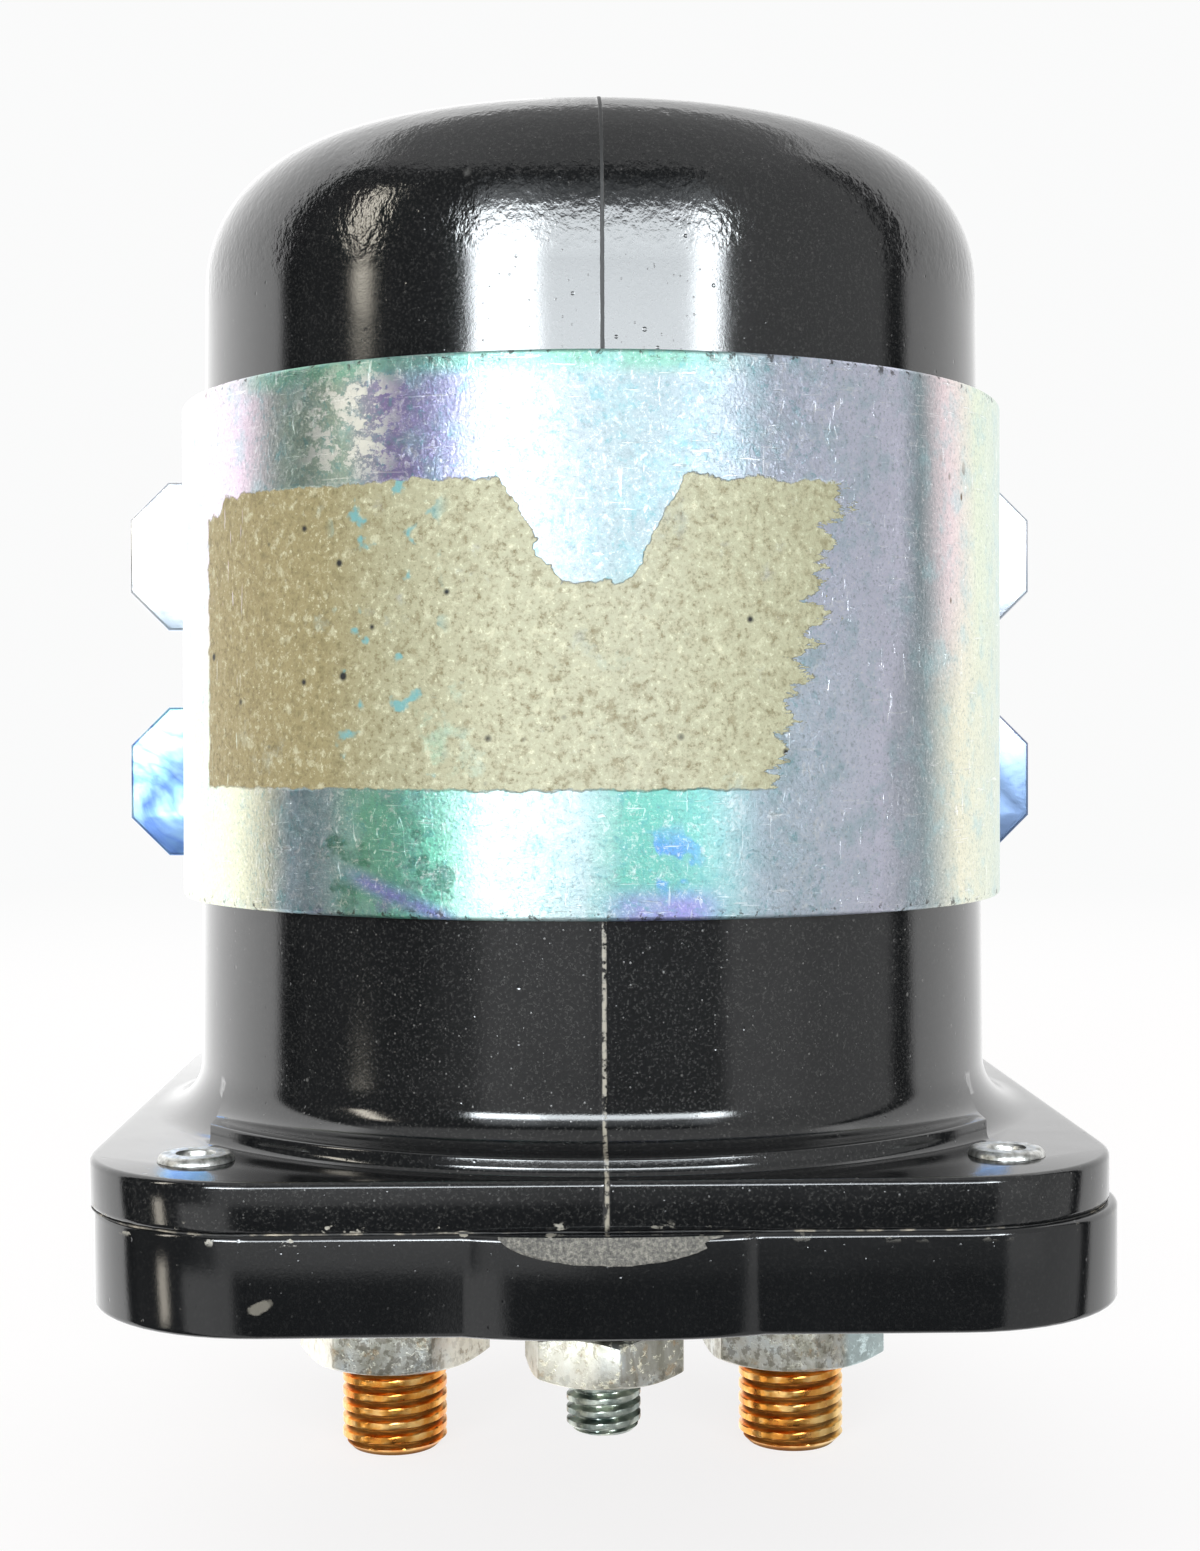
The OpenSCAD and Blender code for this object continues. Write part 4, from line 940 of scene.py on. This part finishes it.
# Painted light on the threads: the crests get a painted highlight, partly their polish, and the flanks and
# roots are darkened, partly oxide in the hollows and partly painted shade.
metal = metal.under(((0.58, 0.52, 0.22), green), ((0.09, 0.035, 0.01), (1 - crest) * 0.75),
                    ((0.95, 0.66, 0.30), crest * old.rise(0.45, 0.62) * 0.5))
feed(copper_shader, {"Metallic": 1.0}, {"Base Color": metal, "Normal": bump(cloud(place, 0.35, 3) * 0.02),
                                        "Roughness": 0.2 + 0.2 * old + 0.45 * (1 - crest)})
head_r = (main_high.x - main_low.x) / 2
for at, name in zip(main_at, ("left", "right")):
    stud = threaded("copper_stud_" + name, at, main_end, joint_z - neck_d + 0.3, main_r, main_root,
                    main_pitch, main_tip)
    neck = slab("neck", at, neck_w / 2, joint_z - neck_d, joint_z + overrun / 2, edge_r, 3)
    carve(stud, neck, "UNION")
    head = turned("head", [(0, joint_z), (head_r, joint_z)]
                  + arc(head_r - head_edge_r, contact_z - head_edge_r, head_edge_r, 0, 90, 4)
                  + [(0, contact_z)], at, ((360, 64),))
    carve(stud, head, "UNION")
    fitted(stud, copper, ["main_stud_" + name], 32)


# Split spring washers and zinc plated hex nuts clamp the ring lugs of the load's cables.
# Nuts and washers are stained, with brown and cream deposits, from years in the open.
def hex_nuts(name, node, places, turns, across, bore_r):
    """Hex nuts with both ends chamfered and their bores countersunk, joined in one piece."""
    low, high = [corner.z for corner in span(node)]
    corner = across / math.sqrt(3)
    drop, land, sink = (corner - across / 2) * 0.6, across / 2 - 0.2, 0.5
    nuts = []
    for at, turn in zip(places, turns):
        fresh()
        bpy.ops.mesh.primitive_cylinder_add(vertices=6, radius=corner, depth=high - low,
                                            location=(at.x, at.y, (low + high) / 2),
                                            rotation=(0, 0, math.radians(turn - 90)))
        nut = bpy.context.object
        bpy.ops.object.transform_apply(location=True, rotation=True, scale=True)
        cone = turned("cone", [(0, low - 0.001), (land, low - 0.001), (corner + 0.05, low + drop),
                               (corner + 0.05, high - drop), (land, high + 0.001), (0, high + 0.001)],
                      at, ((360, 96),))
        carve(nut, cone, "INTERSECT")
        drill = turned("drill", [(0, low - overrun), (bore_r + sink, low - overrun), (bore_r + sink, low),
                                 (bore_r, low + sink), (bore_r, high - sink), (bore_r + sink, high),
                                 (bore_r + sink, high + overrun), (0, high + overrun)], at)
        carve(nut, drill)
        round_edges(nut, 0.14, 2, 22)
        nuts.append(nut)
    return joined(nuts, name)


stained, stained_shader, place = start_finish("stained_zinc")
x, y, z = place.split()
smear = cloud(stretched(place, 1, 1, 0.7), 2.6, 5, 0.65, 0.6)
spot = cloud(place, 0.9, 4, 0.7)
zinc = smear.ramp(0.25, 0.75, [(0.25, (0.20, 0.19, 0.15)), (0.42, (0.36, 0.35, 0.29)),
                               (0.55, (0.52, 0.51, 0.46)), (0.75, (0.60, 0.65, 0.66))])
rust = spot.rise(0.52, 0.62) * (1 - smear.rise(0.42, 0.55))
crust = cloud(place, 0.5, 4, 0.7).rise(0.55, 0.62) * 0.6 * (1 - abs(x - axis.x).rise(7, 9) * 0.6)
from_left, from_right = x - main_at[0].x, x - main_at[1].x
right_face = from_right.rise(3.0, 4.0)
cream = ((1 - from_left.rise(-5.2, -3.6)) * 0.9 + from_left.rise(3.2, 4.6) * (1 - x.rise(-8.5, -7.5)) * 0.6
         + x.within(-5.2, -0.6, 0.5) * 0.5)
soot = cloud(place, 0.7, 3, 0.7).rise(0.5, 0.58) * (1 - z.rise(-47.2, -46.2)) * (1 - right_face) * (1 - cream)
zinc = zinc.under(((0.22, 0.15, 0.08), rust * 0.8), ((0.86, 0.82, 0.70), cream * (1 - 0.7 * rust)),
                  ((0.52, 0.62, 0.62), right_face * 0.9), ((0.62, 0.58, 0.44), crust * (1 - right_face)),
                  ((0.10, 0.08, 0.05), soot * 0.5))
feed(stained_shader, {}, {"Base Color": zinc, "Metallic": 1 - 0.6 * rust - 0.4 * crust - 0.5 * cream,
                          "Roughness": 0.3 + 0.25 * smear + 0.3 * crust,
                          "Normal": bump(spot * 0.03 + crust * 0.03)})
main_nut_w, main_nut_bore_r = 12.7, 3.65
main_hex_nuts = hex_nuts("main_hex_nuts", "main_nuts", main_at, (-5, -21.5), main_nut_w, main_nut_bore_r)
fitted(main_hex_nuts, stained, ["main_nuts"], 30)

lock_low, lock_high = span("main_lock_washers")
lock_r, lock_edge, lock_gap, lock_turn = 7.1, 0.25, 14, 97
lock_outline = rounded_bar(main_r + play, lock_r, lock_low.z, lock_high.z, lock_edge, 3)
rings = [turned("ring", lock_outline, at, ((360 - lock_gap, 72),), lock_turn) for at in main_at]
fitted(joined(rings, "split_washers"), stained, ["main_lock_washers"])


# The coil's two studs are zinc plated steel, number 10 with 32 threads to the inch, one in front
# and one behind. A thin nut on each clamps the control wire.
stud_zinc, stud_shader, place = start_finish("stud_zinc")
dullness = cloud(place, 1.2, 4, 0.6)
pale_zinc = dullness.ramp(0.3, 0.7, [(0.3, (0.12, 0.15, 0.14)), (0.5, (0.32, 0.36, 0.32)),
                                     (0.7, (0.58, 0.60, 0.52))])
feed(stud_shader, {"Metallic": 1.0}, {"Base Color": pale_zinc, "Roughness": 0.2 + 0.3 * dullness,
                                      "Normal": bump(cloud(place, 0.3, 3) * 0.015)})
coil_pitch, coil_root, coil_tip = 0.794, 1.95, 0.45
coil_head_z, coil_head_r, coil_head_t = front_high.z, 4.2, 1.8
for at, name in zip(coil_at, ("front", "back")):
    stud = threaded("zinc_stud_" + name, at, front_low.z, coil_head_z - coil_head_t / 2, coil_r, coil_root,
                    coil_pitch, coil_tip)
    head = turned("head", [(0, coil_head_z - coil_head_t), (coil_head_r, coil_head_z - coil_head_t)]
                  + arc(coil_head_r - head_edge_r, coil_head_z - head_edge_r, head_edge_r, 0, 90, 4)
                  + [(0, coil_head_z)], at, ((360, 48),))
    carve(stud, head, "UNION")
    fitted(stud, stud_zinc, ["coil_stud_" + name], 32)
coil_nut_w, coil_nut_bore_r = 9.525, 2.18
coil_hex_nuts = hex_nuts("coil_hex_nuts", "coil_nuts", coil_at, (38.8, 12), coil_nut_w, coil_nut_bore_r)
fitted(coil_hex_nuts, stained, ["coil_nuts"], 30)


# Two coil springs of drawn wire: one lifts the plunger, the other presses the contact disc down on
# the rod's lower end. Each sits between two flat seats.
def spring(name, node, wire_r, turns):
    """A round wire wound in a helix between the CAD spring's two ends."""
    low, high = span(node)
    mean_r = (high.x - low.x) / 2 - wire_r
    middle = (low + high) / 2
    rise_z = high.z - low.z - 2 * wire_r
    fresh()
    bpy.ops.mesh.primitive_circle_add(vertices=14, radius=wire_r, rotation=(math.radians(90), 0, 0),
                                      location=(middle.x + mean_r, middle.y, low.z + wire_r))
    coil = named(name)
    bpy.ops.object.transform_apply(location=True, rotation=True, scale=True)
    for vertex in coil.data.vertices:
        vertex.co -= Vector((middle.x, middle.y, 0))
    modify(coil, "SCREW", axis="Z", angle=math.radians(360 * turns), screw_offset=rise_z,
           steps=int(36 * turns), render_steps=int(36 * turns), use_merge_vertices=False)
    for vertex in coil.data.vertices:
        vertex.co += Vector((middle.x, middle.y, 0))
    closed(coil)
    return coil


wire = mottled("drawn_spring_wire", {"Metallic": 1.0}, (0.4, 4, 0.6), (0.4, 4, 0.6),
               [(0.3, (0.30, 0.31, 0.33)), (0.7, (0.52, 0.54, 0.56))], 0.25, 0.25, 0.01)
lift = spring("plunger_spring", "return_spring", wire_r=0.6, turns=7)
fitted(lift, wire, ["return_spring"], 60)
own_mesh(lift)
press = spring("disc_spring", "contact_spring", wire_r=0.55, turns=4)
fitted(press, wire, ["contact_spring"], 60, body="plunger")
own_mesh(press)


# Everything inside keeps its turned or moulded CAD shape and gets the finish of its material:
# the magnet's thinly plated steel, the moulded bobbin, wire, tape, fibre, brass and copper.
def worked_metal(name, dark, light, rough, size):
    """Machined metal with fine turning marks and a little tarnish."""
    material, shader, place = start_finish(name)
    marks = cloud(stretched(place, 1, 1, 9), size, 4, 0.6)
    tone = cloud(place, size * 3, 3)
    feed(shader, {"Metallic": 1.0}, {"Base Color": tone.ramp(0.3, 0.7, [(0.3, dark), (0.7, light)]),
                                     "Roughness": rough + 0.2 * marks, "Normal": bump(marks * 0.012)})
    return material


def dull_stuff(name, dark, light, rough, size):
    """Moulded, woven or pressed stuff, mottled at one scale and grainy at a finer one."""
    return mottled(name, {"IOR": 1.5}, (size, 4, 0.6), (size / 5, 3, 0.6), [(0.3, dark), (0.7, light)],
                   rough, 0.2, 0.03)


def wound(name, dark, light, pitch):
    """Layers of enamelled wire, seen as fine level ridges, with painted shade in the gaps between turns."""
    material, shader, place = start_finish(name)
    across_layers = place.split()[2] * (math.pi / pitch)
    ridge = abs(place.math("SINE", across_layers))
    # Painted shade: the colour darkens from the crowns of the turns into the gaps between them.
    feed(shader, {"Metallic": 1.0}, {"Base Color": ridge.ramp(0, 1, [(0, dark), (1, light)]),
                                     "Roughness": 0.3 + 0.2 * cloud(place, 1.0), "Normal": bump(ridge * 0.1)})
    return material


inside = [
    (worked_metal("magnet_steel", (0.38, 0.39, 0.40), (0.60, 0.61, 0.62), 0.25, 1.2),
     ["flux_frame", "upper_end_plate", "lower_end_plate", "fixed_core", "plunger", "spring_seat"]),
    (worked_metal("ground_rod", (0.50, 0.51, 0.52), (0.72, 0.73, 0.74), 0.15, 0.6), ["push_rod"]),
    (worked_metal("spring_sheet", (0.34, 0.36, 0.38), (0.50, 0.52, 0.54), 0.25, 0.8),
     ["rod_clips", "wave_washer"]),
    (worked_metal("drawn_brass", (0.62, 0.44, 0.16), (0.85, 0.66, 0.30), 0.22, 0.8),
     ["guide_tube", "core_bush", "coil_lugs"]),
    (worked_metal("lapped_copper", (0.60, 0.26, 0.10), (0.86, 0.50, 0.26), 0.2, 1.0), ["contact_disc"]),
    (worked_metal("weld_metal", (0.30, 0.31, 0.33), (0.55, 0.56, 0.58), 0.35, 0.9), ["bracket_welds"]),
    (dull_stuff("brown_fibre", (0.20, 0.11, 0.05), (0.36, 0.21, 0.10), 0.55, 2.0), ["contact_barrel"]),
    (dull_stuff("red_fibre", (0.22, 0.03, 0.02), (0.40, 0.08, 0.05), 0.5, 1.5),
     ["contact_hub", "contact_washer", "stop_washer"]),
    (dull_stuff("bobbin_nylon", (0.70, 0.67, 0.58), (0.82, 0.80, 0.72), 0.4, 4.0), ["coil_bobbin"]),
    (dull_stuff("coil_tape", (0.66, 0.50, 0.14), (0.84, 0.70, 0.28), 0.35, 3.0), ["coil_wrap"]),
    (dull_stuff("lead_sleeve", (0.34, 0.04, 0.03), (0.50, 0.08, 0.05), 0.45, 0.8), ["coil_leads"]),
    (wound("coil_wire", (0.16, 0.05, 0.02), (0.62, 0.24, 0.08), 0.55), ["coil_winding"]),
]
for finish, nodes in inside:
    for node in nodes:
        for place_in_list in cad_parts[node].material_slots:
            place_in_list.material = finish
